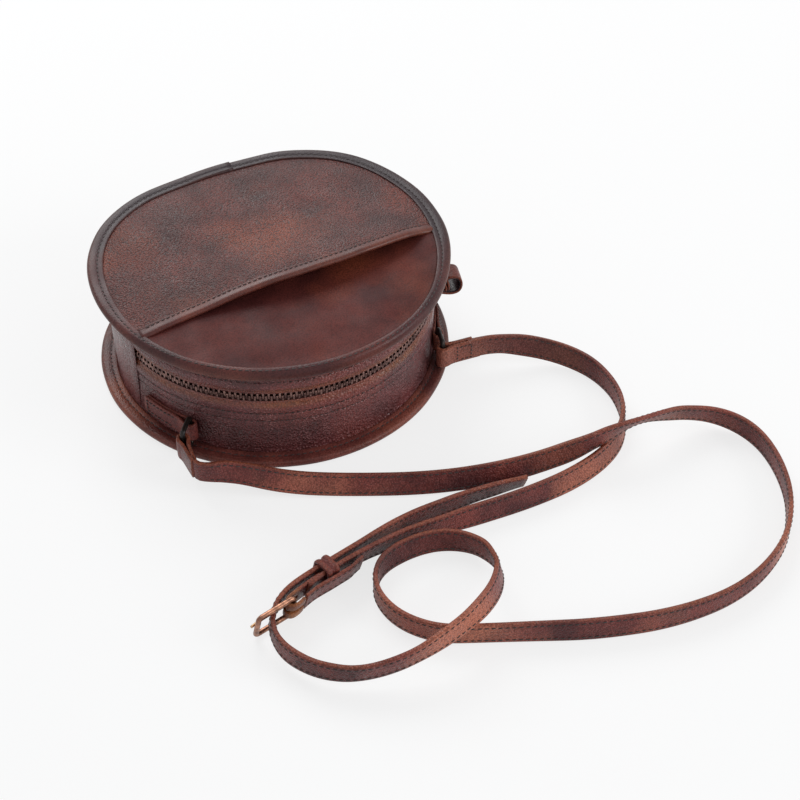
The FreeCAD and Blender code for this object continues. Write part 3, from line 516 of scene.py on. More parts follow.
def cloth(name, colour, pitch):
    """Plain weave with the given thread pitch."""
    paint = Paint(name)
    waves = []
    for direction in ("X", "Y", "Z"):
        inputs = {"Vector": paint.place, "Scale": 0.5 / pitch, "Distortion": 0.3}
        waves.append(paint.add("ShaderNodeTexWave", inputs, bands_direction=direction).outputs["Fac"])
    weave = paint.math("ADD", paint.math("MULTIPLY", waves[0], waves[2]), waves[1])
    dark = tuple(part * 0.45 for part in colour)
    return paint.finish(
        Base_Color=paint.mix(paint.range(weave, 0.2, 1.4, 0, 1), (*dark, 1), (*colour, 1)),
        Roughness=0.9,
        Normal=paint.bump(weave, 0.5, 0.0003),
        Sheen_Weight=0.15,
    )


def metal(name, colour, tarnish, rough, metallic=1.0):
    """Worn metal with tarnish in clouds and fine scratches."""
    paint = Paint(name)
    clouds = paint.range(paint.noise(260, 4), 0.38, 0.62, 0, 1)
    scratches = paint.noise(1500, 3, stretch=(1, 1, 0.15))
    return paint.finish(
        Base_Color=paint.mix(clouds, (*tarnish, 1), (*colour, 1)),
        Metallic=metallic,
        Roughness=paint.range(scratches, 0.3, 0.7, rough - 0.08, rough + 0.16),
        Normal=paint.bump(scratches, 0.12, 0.0001),
    )


BAG_LEATHER = leather(
    "bag_leather", (0.08, 0.02, 0.018), (0.16, 0.04, 0.033), (0.27, 0.065, 0.034),
    (0.28, 0.09, 0.035), grain=0.3, shine=0.22)
FACE_LEATHER = leather(
    "face_leather", (0.066, 0.015, 0.014), (0.138, 0.03, 0.024), (0.25, 0.055, 0.026),
    (0.24, 0.082, 0.036), grain=0.14, rough=0.5, shine=0.12, shift=(-2.13, -2.29, -1.15))
# Its glint paints faint highlights on the pebbles.
POCKET_LEATHER = leather(
    "pocket_leather", (0.064, 0.0185, 0.017), (0.172, 0.045, 0.036), (0.29, 0.071, 0.038),
    (0.24, 0.082, 0.036), grain_scale=1020, grain=0.9, shine=0.28, glint=0.13, pit=0.8,
    shift=(0.46, -0.62, 2.86))
# Its glint paints strong highlights on the pebbles.
WALL_LEATHER = leather(
    "wall_leather", (0.082, 0.022, 0.023), (0.185, 0.046, 0.046), (0.3, 0.07, 0.052),
    (0.27, 0.084, 0.028), grain_scale=820, grain=1.0, rough=0.32, shine=0.4, glint=0.55,
    shift=(1.08, -0.43, -1.12))
TRIM_LEATHER = leather(
    "trim_leather", (0.062, 0.016, 0.015), (0.13, 0.033, 0.026), (0.21, 0.054, 0.032),
    (0.46, 0.135, 0.062), patch_scale=30, grain=0.1, rough=0.36, shine=0.28)
# Its far colour is painted shade with a bluish painted reflection, taking over on the far side and the right.
BINDING_LEATHER = leather(
    "binding_leather", (0.05, 0.015, 0.016), (0.09, 0.026, 0.026), (0.17, 0.044, 0.033),
    (0.24, 0.07, 0.034), far=(0.018, 0.012, 0.017), patch_scale=22, grain_scale=1300, grain=0.2,
    rough=0.34, shine=0.22)
# Its far colour is painted shade towards the worn bottom and the right.
BACK_BINDING_LEATHER = leather(
    "back_binding_leather", (0.12, 0.031, 0.027), (0.235, 0.062, 0.048), (0.36, 0.105, 0.058),
    (0.28, 0.085, 0.04), far=(0.03, 0.017, 0.02), patch_scale=26, grain_scale=1100, grain=0.35,
    rough=0.36, shine=0.25)
# Its far colour is painted shade, darkest where the short strap leaves the right ring; its glint paints
# highlights on the pebbles, and its clouds are shifted so that a burnished patch on the long strap also
# stands for a painted highlight.
STRAP_LEATHER = leather(
    "strap_leather", (0.092, 0.0205, 0.0205), (0.275, 0.065, 0.052), (0.6, 0.205, 0.125),
    (0.32, 0.09, 0.045), far=(0.05, 0.016, 0.018), patch_scale=17, grain_scale=1050, grain=0.7,
    rough=0.38, shine=0.25, glint=0.15, pit=0.5, shift=(-2.65, 0.04, -2.78))
FOLD_LEATHER = leather(
    "fold_leather", (0.15, 0.046, 0.024), (0.3, 0.1, 0.042), (0.48, 0.2, 0.075),
    (0.42, 0.15, 0.055), patch_scale=90, grain_scale=1100, grain=0.4, shine=0.3)
THREAD = thread("thread", (0.016, 0.009, 0.008))
LINING_CLOTH = cloth("lining_fabric", (0.2, 0.145, 0.1), 0.0007)
TAPE_CLOTH = cloth("zip_tape", (0.23, 0.085, 0.07), 0.0006)
ZIP_METAL = metal("zip_metal", (0.25, 0.145, 0.125), (0.08, 0.044, 0.04), 0.28)
RING_METAL = metal("ring_metal", (0.022, 0.02, 0.02), (0.05, 0.036, 0.03), 0.34, 0.85)
PRONG_METAL = metal("prong_metal", (0.6, 0.4, 0.22), (0.3, 0.17, 0.09), 0.3)
BUCKLE_METAL = metal("buckle_metal", (0.44, 0.22, 0.14), (0.17, 0.085, 0.06), 0.33)


def outline_arcs():
    """Centre, radius and the two limits of direction of each arc, once round from the right."""
    apart = OUTLINE_RADIUS - CORNER_RADIUS
    across = apart * math.cos(CORNER_START)
    up = apart * math.sin(CORNER_START)
    down = up - math.sqrt((BOTTOM_RADIUS - CORNER_RADIUS) ** 2 - across ** 2)
    turn = math.atan2(up - down, across)
    return [
        (Vector((across, up, 0)), CORNER_RADIUS, CORNER_START, turn),
        (Vector((0, down, 0)), BOTTOM_RADIUS, turn, math.pi - turn),
        (Vector((-across, up, 0)), CORNER_RADIUS, math.pi - turn, math.pi - CORNER_START),
        (Vector((0, 0, 0)), OUTLINE_RADIUS, math.pi - CORNER_START, 2 * math.pi + CORNER_START),
    ]


ARCS = outline_arcs()


def heading(direction):
    """Level direction at an angle from +X."""
    return Vector((math.cos(direction), math.sin(direction), 0))


def arc_at(direction):
    """Arc of the outline whose outward normal has this direction."""
    turned = (direction - CORNER_START) % (2 * math.pi) + CORNER_START
    return next(arc for arc in ARCS if arc[2] - 1e-9 <= turned <= arc[3] + 1e-9)


def edge_point(direction, inset, height):
    """Point set in from the outline, with the slight waviness of sewn leather."""
    centre, radius, _, _ = arc_at(direction)
    outward = heading(direction)
    place = centre + outward * (radius - inset) + UP * height
    wave = SEWN_WAVE * noise.noise(place * SEWN_WAVE_SCALE)
    return place + (outward * SEWN_WAVE_OUT + UP * min(SEWN_WAVE_UP, height * SEWN_WAVE_GROWTH)) * wave


def walk(first, last, step):
    """Directions from first to last, about a step apart along the outline."""
    directions = [first]
    while directions[-1] < last:
        radius = arc_at(directions[-1] + 1e-6)[1]
        directions.append(min(last, directions[-1] + step / radius))
    return directions


def depth_in(x, y):
    """Distance from a point to the outline."""
    depths = [OUTLINE_RADIUS]
    for centre, radius, low, high in ARCS:
        ray = Vector((x, y, 0)) - centre
        direction = (math.atan2(ray.y, ray.x) - low) % (2 * math.pi) + low
        if direction <= high:
            depths.append(radius - ray.length)
    return min(depths)


def half_width(y, inset):
    """Half of the outline's width at this height of the worn bag."""
    corner, bottom = ARCS[0], ARCS[1]
    main_radius = OUTLINE_RADIUS - inset
    corner_radius = CORNER_RADIUS - inset
    if y <= main_radius * math.sin(CORNER_START):
        return math.sqrt(max(0, main_radius ** 2 - y ** 2))
    if y <= corner[0].y + corner_radius * math.sin(corner[3]):
        return corner[0].x + math.sqrt(corner_radius ** 2 - (y - corner[0].y) ** 2)
    return math.sqrt(max(0, (BOTTOM_RADIUS - inset) ** 2 - (y - bottom[0].y) ** 2))


def top_y(inset):
    """Place of the outline's worn bottom, set in."""
    return ARCS[1][0].y + BOTTOM_RADIUS - inset


def smooth(points, parts=3):
    """Points of a smooth line through the given ones (tuples of any size)."""
    line = []
    for index in range(len(points) - 1):
        around = [points[min(max(index + shift, 0), len(points) - 1)] for shift in (-1, 0, 1, 2)]
        for part in range(parts):
            t = part / parts
            line.append(tuple(
                0.5 * (2 * b + (c - a) * t + (2 * a - 5 * b + 4 * c - d) * t * t
                       + (3 * b - a - 3 * c + d) * t ** 3)
                for a, b, c, d in zip(*around)))
    line.append(tuple(points[-1]))
    return line


def ease(value, low, high):
    """Smooth step from 0 at low to 1 at high."""
    share = max(0.0, min(1.0, (value - low) / (high - low)))
    return share * share * (3 - 2 * share)


def circle(hub, first, second, radius, count):
    """Points round a hub, in the plane of two directions."""
    turns = [math.tau * step / count for step in range(count)]
    return [hub + (first * math.cos(turn) + second * math.sin(turn)) * radius for turn in turns]


def per_point(value, line):
    """List with one value per point of a line; a single value is repeated."""
    return value if isinstance(value, list) else [value] * len(line)


def run_lengths(line):
    """Length along a line from its start to each of its points."""
    lengths = [0.0]
    for before, after in zip(line, line[1:]):
        lengths.append(lengths[-1] + (after - before).length)
    return lengths


def along_box(corners, steps):
    """Pairs of numbers at even steps along the sides of a box of stitches."""
    for (run, level), (next_run, next_level) in zip(corners, corners[1:]):
        for step in range(steps):
            share = step / steps
            yield run + (next_run - run) * share, level + (next_level - level) * share


def combined(parts):
    """One list of vertices and faces from several."""
    vertices = []
    faces = []
    for points, sides in parts:
        faces += [tuple(len(vertices) + corner for corner in face) for face in sides]
        vertices += points
    return vertices, faces


def bevelled_block(move, bevel, segments):
    """Points and faces of a bevelled block; move takes each corner of a cube of size 1 to its place."""
    work = bmesh.new()
    bmesh.ops.create_cube(work, size=1)
    for vertex in work.verts:
        vertex.co = move(vertex.co)
    bmesh.ops.bevel(work, geom=work.edges[:], offset=bevel, segments=segments, affect="EDGES", profile=0.6)
    work.verts.index_update()
    points = [vertex.co.copy() for vertex in work.verts]
    faces = [tuple(vertex.index for vertex in face.verts) for face in work.faces]
    work.free()
    return points, faces


def mesh_piece(name, vertices, faces, material, body, slot, nodes=(), wear=None):
    """Piece on a body, in place of the given nodes; given two bodies instead, it stays where it is, on
    neither.
    """
    mesh = bpy.data.meshes.new(name)
    mesh.from_pydata([tuple(vertex) for vertex in vertices], [], faces)
    if wear:
        mesh.attributes.new("wear", "FLOAT", "POINT").data.foreach_set("value", wear)
    work = bmesh.new()
    work.from_mesh(mesh)
    bmesh.ops.recalc_face_normals(work, faces=work.faces)
    work.to_mesh(mesh)
    work.free()
    mesh.shade_smooth()
    mesh.materials.append(material)
    piece = bpy.data.objects.new(name, mesh)
    bpy.context.scene.collection.objects.link(piece)
    if nodes:
        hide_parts(*nodes)
    if isinstance(body, str):
        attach(piece, body)
    else:
        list(body)
        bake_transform(piece)
    return piece


def skin(rows, round_rows=False, round_columns=False, capped=False):
    """Faces between equal rows of points, numbered row by row."""
    count = len(rows)
    width = len(rows[0])
    faces = []
    for row in range(count if round_rows else count - 1):
        following = (row + 1) % count
        for column in range(width if round_columns else width - 1):
            beside = (column + 1) % width
            faces.append((row * width + column, row * width + beside, following * width + beside,
                          following * width + column))
    if capped:
        faces.append(tuple(reversed(range(width))))
        faces.append(tuple((count - 1) * width + column for column in range(width)))
    return faces


def rows_piece(name, rows, material, body, slot, nodes=(), wear=None, **joins):
    """Piece with a skin over equal rows of points."""
    return mesh_piece(name, sum(rows, []), skin(rows, **joins), material, body, slot, nodes, wear)


def outline_piece(name, profile, directions, material, body, slot, nodes=(), closed=False, solid=False):
    """Piece that runs along the outline.

    Its profile is a line of inset, height and wear, or a function that gives one at a direction.
    """
    profiles = [profile(direction) if callable(profile) else profile for direction in directions]
    rows = [[edge_point(direction, inset, height) for inset, height, _ in profile]
            for direction, profile in zip(directions, profiles)]
    wear = [worn for profile in profiles for _, _, worn in profile]
    return rows_piece(name, rows, material, body, slot, nodes, wear, round_rows=closed, round_columns=solid,
                      capped=solid and not closed)


def sheet_piece(name, inset, height_at, material, body, nodes, slot="bag_leather", low=None, rise_at=None):
    """Sheet in the bag's outline, from its worn top or from low to its worn bottom.

    The rows lie a little closer near both ends, and may rise along the way.
    """
    high = top_y(inset)
    if low is None:
        low = inset - OUTLINE_RADIUS
    count = round((high - low) / SHEET_STEP)
    rows = []
    for number in range(count + 1):
        even = number / count
        crowded = math.sin(math.pi * (even - 0.5)) / 2 + 0.5
        y = low + (high - low) * (SHEET_CROWDING * crowded + (1 - SHEET_CROWDING) * even)
        reach = half_width(y, inset)
        row = []
        for column in range(2 * SHEET_COLUMNS + 1):
            x = reach * (column / SHEET_COLUMNS - 1)
            risen = y + rise_at(x, y) if rise_at else y
            row.append(Vector((x, risen, height_at(x, risen))))
        rows.append(row)
    return rows_piece(name, rows, material, body, slot, nodes)


def stitch_row(name, line, outward, body, slot, pitch=0.0034, length=0.0025, radius=0.0003, slant=0.16):
    """Row of single stitches along a line, each a tapered oval that dips into the leather at its ends."""
    lengths = run_lengths(line)
    outward = per_point(outward, line)
    rng = random.Random(len(line))
    parts = []
    index = 0
    for number in range(int(lengths[-1] / pitch)):
        middle = (number + 0.5) * pitch
        while lengths[index + 1] < middle:
            index += 1
        share = (middle - lengths[index]) / (lengths[index + 1] - lengths[index])
        centre = line[index].lerp(line[index + 1], share)
        normal = outward[index].lerp(outward[index + 1], share).normalized()
        along = (line[index + 1] - line[index]).normalized()
        aside = normal.cross(along).normalized()
        along = (along + aside * (slant + rng.uniform(-STITCH_STRAY, STITCH_STRAY))).normalized()
        aside = normal.cross(along).normalized()
        rings = []
        for end, swell, lift in STITCH_SHAPE:
            hub = centre + along * (end * length) + normal * (lift * radius)
            rings.append(circle(hub, aside, normal, radius * swell, STITCH_SIDES))
        parts.append((sum(rings, []), skin(rings, round_columns=True, capped=True)))
    return mesh_piece(name, *combined(parts), THREAD, body, slot)


# Bound edges of the two panels.

FULL_TURN = walk(CORNER_START, CORNER_START + 2 * math.pi, OUTLINE_STEP)[:-1]


def hang(direction):
    """How far the front edge turns down: fully along the mouth, not at all elsewhere."""
    off_mouth = abs((direction - HANG_MIDDLE + math.pi) % (2 * math.pi) - math.pi)
    return 1 - ease(off_mouth, HANG_FULL, HANG_NONE)


def binding_profile(middle, hung):
    """Folded strip round an edge: inset, height, wear. It is pulled in at its stitch line."""
    lower = [(inset, -height, worn) for inset, height, worn in reversed(STRIP_FLAT[:-1])]
    bent = STRIP_HUNG_OVER + STRIP_HUNG_UNDER[::-1]
    profile = []
    for (inset, height, worn), (bent_inset, bent_height) in zip(STRIP_FLAT + lower, bent):
        inset += (bent_inset - inset) * hung
        height *= STRIP_SQUEEZE
        height += (bent_height - height) * hung
        profile.append((inset, middle + height, worn))
    return smooth(profile, 2)


def make_binding(side, middle, body, nodes, hung_at, material):
    """Folded strip round a panel's edge, the lap of its two ends, and the stitches on both of its faces."""
    slot = "binding_leather"

    def profile(direction):
        return binding_profile(middle, hung_at(direction))

    def lap(direction):
        """Strip's end on top of its start; it merges with the strip at its other end."""
        lift = 1 - LAP_FADE * (direction - LAP[0]) / (LAP[1] - LAP[0])
        swell = LAP_LOW + LAP_SWELL * lift
        return [(inset - LAP_OVERHANG * lift, max(FLOOR_GAP, middle + (height - middle) * swell), worn)
                for inset, height, worn in profile(direction)]

    outline_piece(side + "_edge", profile, FULL_TURN, material, body, slot, nodes, closed=True, solid=True)
    outline_piece(side + "_edge_lap", lap, walk(*LAP, OUTLINE_STEP), material, body, slot, solid=True)
    closed_turn = FULL_TURN + FULL_TURN[:1]
    for face, outward, spot in (("over", UP, 2 * STRIP_SEWN), ("under", -UP, -1 - 2 * STRIP_SEWN)):
        line = [edge_point(direction, *profile(direction)[spot][:2]) for direction in closed_turn]
        stitch_row(f"{side}_edge_stitches_{face}", line, outward, body, slot)


def make_bindings():
    """The front edge turns down along the mouth; the back edge lies flat."""
    front_nodes = ("front_binding", "front_binding_flap")
    make_binding("front", DEPTH - BINDING_HALF, MOUTH, front_nodes, hang, BINDING_LEATHER)
    make_binding("back", BINDING_HALF, "bag", ("back_binding",), lambda direction: 0.0, BACK_BINDING_LEATHER)


# Panels, pocket and linings.

def face_height(x, y):
    """Front panel without its dip: a low crown that starts at the binding."""
    inside = max(0.0, depth_in(x, y) - BINDING_WIDTH)
    rise = 1 - (1 - min(1, inside / CROWN_REACH)) ** 2
    wave = FACE_WAVE * noise.noise(Vector((x, y, 0.3)) * FACE_WAVE_SCALE)
    return FACE_HEIGHT + (CROWN + wave) * rise


def pocket_bow(x, y):
    """How far the pocket's open edge stands away from the panel: most a little right of its middle."""
    reach = half_width(POCKET_EDGE, BINDING_WIDTH)
    off_middle = x - BOW_MIDDLE
    share = max(-1.0, min(1.0, off_middle / (reach + math.copysign(BOW_MIDDLE, off_middle))))
    across = (1 - share * share) ** BOW_POWER * (1 - ease(x, BOW_FADE, reach))
    return across * math.exp(-((y - POCKET_EDGE) / BOW_DEPTH) ** 2)


def panel_height(x, y):
    """Front panel, which sinks under the pocket's open edge."""
    return face_height(x, y) - FACE_DIP * pocket_bow(x, y)


def pocket_height(x, y):
    """Pocket, which lies on the panel and stands away from it at its open edge."""
    inside = max(0.0, depth_in(x, y) - BINDING_WIDTH)
    wrinkle = WRINKLE * noise.noise(Vector((x * 1.4, y, 0.9)) * WRINKLE_SCALE)
    lifted = (POCKET_THICKNESS + wrinkle) * min(1, inside / POCKET_SLOPE)
    return face_height(x, y) + POCKET_GAP + lifted + POCKET_LIFT * pocket_bow(x, y)


def pocket_rise(x, y):
    """How much further from the zip the pocket's open edge is at its right end."""
    return POCKET_RISE * ease(x, *POCKET_RISE_SPAN) * (1 - ease(y, *POCKET_RISE_FADE))


def back_height(x, y):
    """Back panel, nearly flat on the floor."""
    return BACK_HEIGHT + BACK_WAVE * noise.noise(Vector((x, y, 0)) * BACK_WAVE_SCALE)


def make_panels():
    """Front panel, pocket and back panel, with their edges inside the bindings."""
    front_nodes = ("front_panel", "front_panel_flap")
    sheet_piece("front_face", PANEL_INSET, panel_height, FACE_LEATHER, MOUTH, front_nodes)
    sheet_piece("pocket_sheet", PANEL_INSET, pocket_height, POCKET_LEATHER, "bag", ("front_pocket",),
                low=POCKET_EDGE + POCKET_TUCK, rise_at=pocket_rise)
    sheet_piece("back_face", PANEL_INSET, back_height, BAG_LEATHER, "bag", ("back_panel",))


def trim_point(x, inward, lift):
    """Point of the pocket's trim: inward from its open edge and lifted off the pocket."""
    y = POCKET_EDGE + inward - POCKET_SAG * pocket_bow(x, POCKET_EDGE)
    y += pocket_rise(x, POCKET_EDGE) - POCKET_TILT * ease(-x, *POCKET_TILT_SPAN)
    return Vector((x, y, pocket_height(x, POCKET_EDGE + inward) + lift))


def make_trim():
    """Folded trim on the pocket's open edge, more worn to the right, and its stitches."""
    section = smooth(TRIM_SECTION, 3)
    left_reach = half_width(POCKET_EDGE, TRIM_LEFT_INSET)
    reach = half_width(POCKET_EDGE + POCKET_RISE, TRIM_RIGHT_INSET)
    places = [(reach if step > TRIM_STEPS else left_reach) * (step / TRIM_STEPS - 1)
              for step in range(2 * TRIM_STEPS + 1)]
    rows = [[trim_point(x, inward, lift) for inward, lift, _ in section] for x in places]
    shares = [TRIM_MIDDLE_WEAR + (1 - TRIM_MIDDLE_WEAR) * (x / reach) for x in places]
    wear = [worn * share for share in shares for _, _, worn in section]
    rows_piece("pocket_edge_trim", rows, TRIM_LEATHER, "bag", "bag_leather", ("pocket_trim",), wear,
               round_columns=True, capped=True)
    line = [trim_point(x, *TRIM_STITCH) for x in places[2:-2]]
    stitch_row("pocket_stitches", line, UP, "bag", "bag_leather", pitch=0.003, length=0.0022)


def make_linings():
    """Puckered linings of the panels and the walls; the front one sinks with its panel."""
    slot = "lining_fabric"

    def pucker(base, sign):
        def height(x, y):
            wave = noise.noise(Vector((x, y, base)) * PUCKER_SCALE)
            return base + sign * PUCKER * (0.5 + 0.5 * wave)

        return height

    def front(x, y):
        return flat_front(x, y) - FACE_DIP * pocket_bow(x, y)

    def wall(name, height, parts, first, last, nodes=()):
        profile = [(LINING_INSET + LINING_RIPPLE * math.sin(step * LINING_RIPPLE_TURN),
                    LINING_FOOT + height * step / parts, 0) for step in range(parts + 1)]
        outline_piece(name, profile, walk(first, last, LINING_STEP), LINING_CLOTH, "bag", slot, nodes)

    flat_front = pucker(FRONT_LINING, -1)
    flat_back = pucker(BACK_LINING, 1)
    front_nodes = ("front_lining", "front_lining_flap")
    sheet_piece("back_inside", LINING_INSET, flat_back, LINING_CLOTH, "bag", ("back_lining",), slot)
    sheet_piece("front_inside", LINING_INSET, front, LINING_CLOTH, MOUTH, front_nodes, slot)
    wall("wall_inside", LINING_HEIGHT, 12, ZIP_END - 2 * math.pi, ZIP_START, ("gusset_lining",))
    wall("zip_wall_inside", ZIP_LINING_HEIGHT, 8, ZIP_START, ZIP_END)


# Walls and zip.

def wall_profile():
    """Bottom wall from flange to flange, slightly bulged."""
    profile = [(inset, WALL_LOW + rise, 0) for inset, rise in WALL_FOOT]
    start, end = WALL_LOW + WALL_FOOT[-1][1], WALL_HIGH - WALL_FOOT[-1][1]
    for step in range(1, WALL_PARTS):
        share = step / WALL_PARTS
        inset = WALL_INSET - WALL_BULGE * math.sin(math.pi * share)
        profile.append((inset, start + (end - start) * share, 0))
    profile += [(inset, WALL_HIGH - rise, 0) for inset, rise in reversed(WALL_FOOT)]
    return smooth(profile, 2)


def band_profile(sign, limit, face):
    """Band from its flange to the rolled lip at the zip, pulled in at the stitch lines."""
    foot = [(abs(limit - ZIP_HEIGHT) - rise, inset, 0) for inset, rise in WALL_FOOT[:-1]]
    whole = foot + face + LIP
    return smooth([(inset, ZIP_HEIGHT + sign * distance, worn) for distance, inset, worn in whole], 3)


def make_walls():
    """Bottom wall, the two bands beside the zip with their stitches, and the seams at the zip's ends."""
    slot = "bag_leather"
    bottom_turn = walk(ZIP_END - 2 * math.pi - WALL_OVERLAP, ZIP_START + WALL_OVERLAP, WALL_STEP)
    outline_piece("bottom_wall", wall_profile(), bottom_turn, WALL_LEATHER, "bag", slot, ("bottom_gusset",))
    zip_turn = walk(ZIP_START - BAND_OVERLAP, ZIP_END + BAND_OVERLAP, OUTLINE_STEP)
    back = band_profile(-1, WALL_LOW, BACK_BAND)
    front = band_profile(1, WALL_HIGH, FRONT_BAND)
    front_nodes = ("zip_gusset_front_ends", "zip_gusset_front_flap")
    outline_piece("zip_band_back", back, zip_turn, WALL_LEATHER, "bag", slot, ("zip_gusset_back",))
    outline_piece("zip_band_front", front, zip_turn, WALL_LEATHER, MOUTH, slot, front_nodes)
    rows = ((-STITCH_FROM_ZIP, "bag"), (-SECOND_STITCH_FROM_ZIP, "bag"), (STITCH_FROM_ZIP, MOUTH))
    sewn = zip_turn[2:-2]
    outward = [heading(direction) for direction in sewn]
    for number, (distance, body) in enumerate(rows):
        line = [edge_point(direction, BAND_STITCH_INSET, ZIP_HEIGHT + distance) for direction in sewn]
        stitch_row(f"zip_band_stitches_{number}", line, outward, body, slot, pitch=0.0031, length=0.0022)
    make_seam("left", ZIP_START, -1)
    make_seam("right", ZIP_END, 1)


def make_seam(side, direction, sign):
    """Overlapped end of the bottom wall, bowed towards the zip."""
    first, last = sorted((direction - sign * SEAM_REACH, direction + sign * SEAM_HOLD))
    foot = WALL_LOW + SEAM_MARGIN
    height = WALL_HIGH - SEAM_MARGIN - foot
    rows = []
    for turn in walk(first, last, SEAM_STEP):
        share = (turn - first) / (last - first)
        lift = SEAM_LIFT * math.sin(math.pi * share) ** SEAM_LIFT_POWER
        row = []
        for step in range(SEAM_ROWS + 1):
            bow = math.sin(math.pi * step / SEAM_ROWS)
            inset = WALL_INSET - SEAM_GAP - lift - WALL_BULGE * bow
            row.append(edge_point(turn - sign * SEAM_BOW * bow, inset, foot + height * step / SEAM_ROWS))
        rows.append(row)
    rows_piece(side + "_wall_seam", rows, WALL_LEATHER, "bag", "bag_leather")


def tooth_corner(corner):
    """Corner of one tooth: a bar that swells towards its tip, tip upwards, on its row's circle."""
    if corner.z > 0:
        return Vector((corner.x * TOOTH_WIDTH, corner.y * TOOTH_TIP_DEPTH, TOOTH_LENGTH))
    return Vector((corner.x * TOOTH_WIDTH, corner.y * TOOTH_FOOT_DEPTH, 0))


def make_zip():
    """Two rows of teeth, half a pitch apart, and the tapes they sit on."""
    shape, sides = bevelled_block(tooth_corner, TOOTH_BEVEL, 2)
    count = round(TEETH_ANGLE * TOOTH_ROW_RADIUS / TOOTH_PITCH)
    directions = walk(ZIP_START + TAPE_START, ZIP_END - TAPE_START, WALL_STEP)
    rows = (
        ("back", 1, 0.0, "bag", ("back",)),
        ("front", -1, 0.5, MOUTH, ("front_ends", "front_flap")),
    )
    for name, sign, shift, body, nodes in rows:
        teeth = []
        for number in range(count):
            turn = TEETH_ANGLE * ((number + shift) / count - 0.5) - math.pi / 2
            foot = heading(turn) * TOOTH_ROW_RADIUS + UP * (ZIP_HEIGHT - sign * TOOTH_FOOT)
            basis = Matrix((heading(turn + math.pi / 2), heading(turn), UP * sign)).transposed()
            teeth.append(([foot + basis @ point for point in shape], sides))
        mesh_piece(f"zip_row_{name}", *combined(teeth), ZIP_METAL, body, "zip_metal",
                   [f"zip_teeth_{node}" for node in nodes])
        profile = smooth([(OUTLINE_RADIUS - TOOTH_ROW_RADIUS + inset, ZIP_HEIGHT - sign * distance, 0)
                          for distance, inset in TAPE_SECTION], 2)
        outline_piece(f"zip_cloth_{name}", profile, directions, TAPE_CLOTH, body, "zip_tape",
                      [f"zip_tape_{node}" for node in nodes], solid=True)


def tube(line, radius, closed=False, sides=14, taper=None):
    """Round tube along a line of points."""
    rows = []
    count = len(line)
    normal = None
    for index, point in enumerate(line):
        before = line[index - 1] if index or closed else point
        after = line[(index + 1) % count] if index < count - 1 or closed else point
        along = (after - before).normalized()
        if normal is None:
            normal = along.orthogonal().normalized()
        normal = (normal - along * normal.dot(along)).normalized()
        reach = radius * (taper[index] if taper else 1)
        rows.append(circle(point, normal, along.cross(normal), reach, sides))
    return sum(rows, []), skin(rows, round_rows=closed, round_columns=True, capped=not closed)


def oblong(place, direction, reach, half_height, corner, up_way=UP):
    """Line of a rounded standing oblong that starts at its bar and reaches out along a heading."""
    outward = heading(direction)
    line = []
    for across, up, start in ((reach, half_height, math.pi / 2), (reach, -half_height, 0),
                              (0, -half_height, -math.pi / 2), (0, half_height, math.pi)):
        hub_x = across - math.copysign(corner, across - reach / 2)
        hub_z = up - math.copysign(corner, up)
        for step in range(CORNER_PARTS + 1):
            turn = start - math.pi / 2 * step / CORNER_PARTS
            x, z = hub_x + corner * math.cos(turn), hub_z + corner * math.sin(turn)
            line.append(place + outward * x + up_way * z)
    return line


def make_slider():
    """Slider body parked at the zip's right-hand end, its pull and the leather tab on it."""
    def block(size, distance, bevel):
        place = Vector((0, distance, 0))
        return bevelled_block(lambda corner: place + corner * Vector(size), bevel, 3)

    vertices, faces = combined([block(*values) for values in SLIDER_BLOCKS])
    turn = Matrix.Rotation(SLIDER_ANGLE - math.pi / 2, 3, "Z")
    vertices = [turn @ vertex + UP * ZIP_HEIGHT for vertex in vertices]
    mesh_piece("slider_body", vertices, faces, ZIP_METAL, "zip_slider", "zip_metal", ("zip_slider",))
    pin = heading(SLIDER_ANGLE) * PIN_RADIUS + UP * ZIP_HEIGHT
    wire = tube(oblong(pin, PULL_HEADING, *PULL_SIZE), PULL_WIRE, closed=True, sides=10)
    mesh_piece("slider_pull", *wire, ZIP_METAL, "zip_pull", "zip_metal", ("zip_pull",))
    outward = heading(PULL_HEADING)
    bar = pin + outward * PULL_SIZE[0]
    line = local_line("pull_fold", PULL_ROUTE, bar, PULL_HEADING)
    runs = [(point - bar).dot(outward) - PULL_TAB_NARROWS_FROM for point in line]
    shares = [1 - PULL_TAB_NARROWING * max(0.0, run / PULL_TAB_NARROWS_OVER) ** 2 for run in runs]
    ribbon_piece("leather_pull", line, UP, PULL_TAB_WIDTH, PULL_TAB_THICKNESS, BAG_LEATHER, "zip_pull",
                 "bag_leather", ("pull_tab",), shares, raw=0.3)


# Straps, loops and buckle.

def spline_points(name, route, spacing):
    """Points at even steps along the smooth line that has the route as its control points."""
    curve = bpy.data.curves.new(name, "CURVE")
    curve.dimensions = "3D"
    spline = curve.splines.new("NURBS")
    spline.points.add(len(route) - 1)
    for point, place in zip(spline.points, route):
        point.co = (*place, 1)
    spline.order_u = 3
    spline.use_endpoint_u = True
    spline.resolution_u = 14
    holder = bpy.data.objects.new(name, curve)
    mesh = bpy.data.meshes.new_from_object(holder)
    line = [vertex.co.copy() for vertex in mesh.vertices]
    bpy.data.objects.remove(holder)
    bpy.data.curves.remove(curve)
    bpy.data.meshes.remove(mesh)
    lengths = run_lengths(line)
    count = max(2, round(lengths[-1] / spacing))
    points = []
    index = 0
    for step in range(count + 1):
        wanted = lengths[-1] * step / count
        while index < len(line) - 2 and lengths[index + 1] < wanted:
            index += 1
        share = (wanted - lengths[index]) / (lengths[index + 1] - lengths[index])
        points.append(line[index].lerp(line[index + 1], share))
    return points


def local_line(name, route, place, direction, spacing=0.0007):
    """Smooth level line from points given as along and aside of a heading."""
    along = heading(direction)
    aside = heading(direction + math.pi / 2)
    return spline_points(name, [place + along * x + aside * y for x, y in route], spacing)


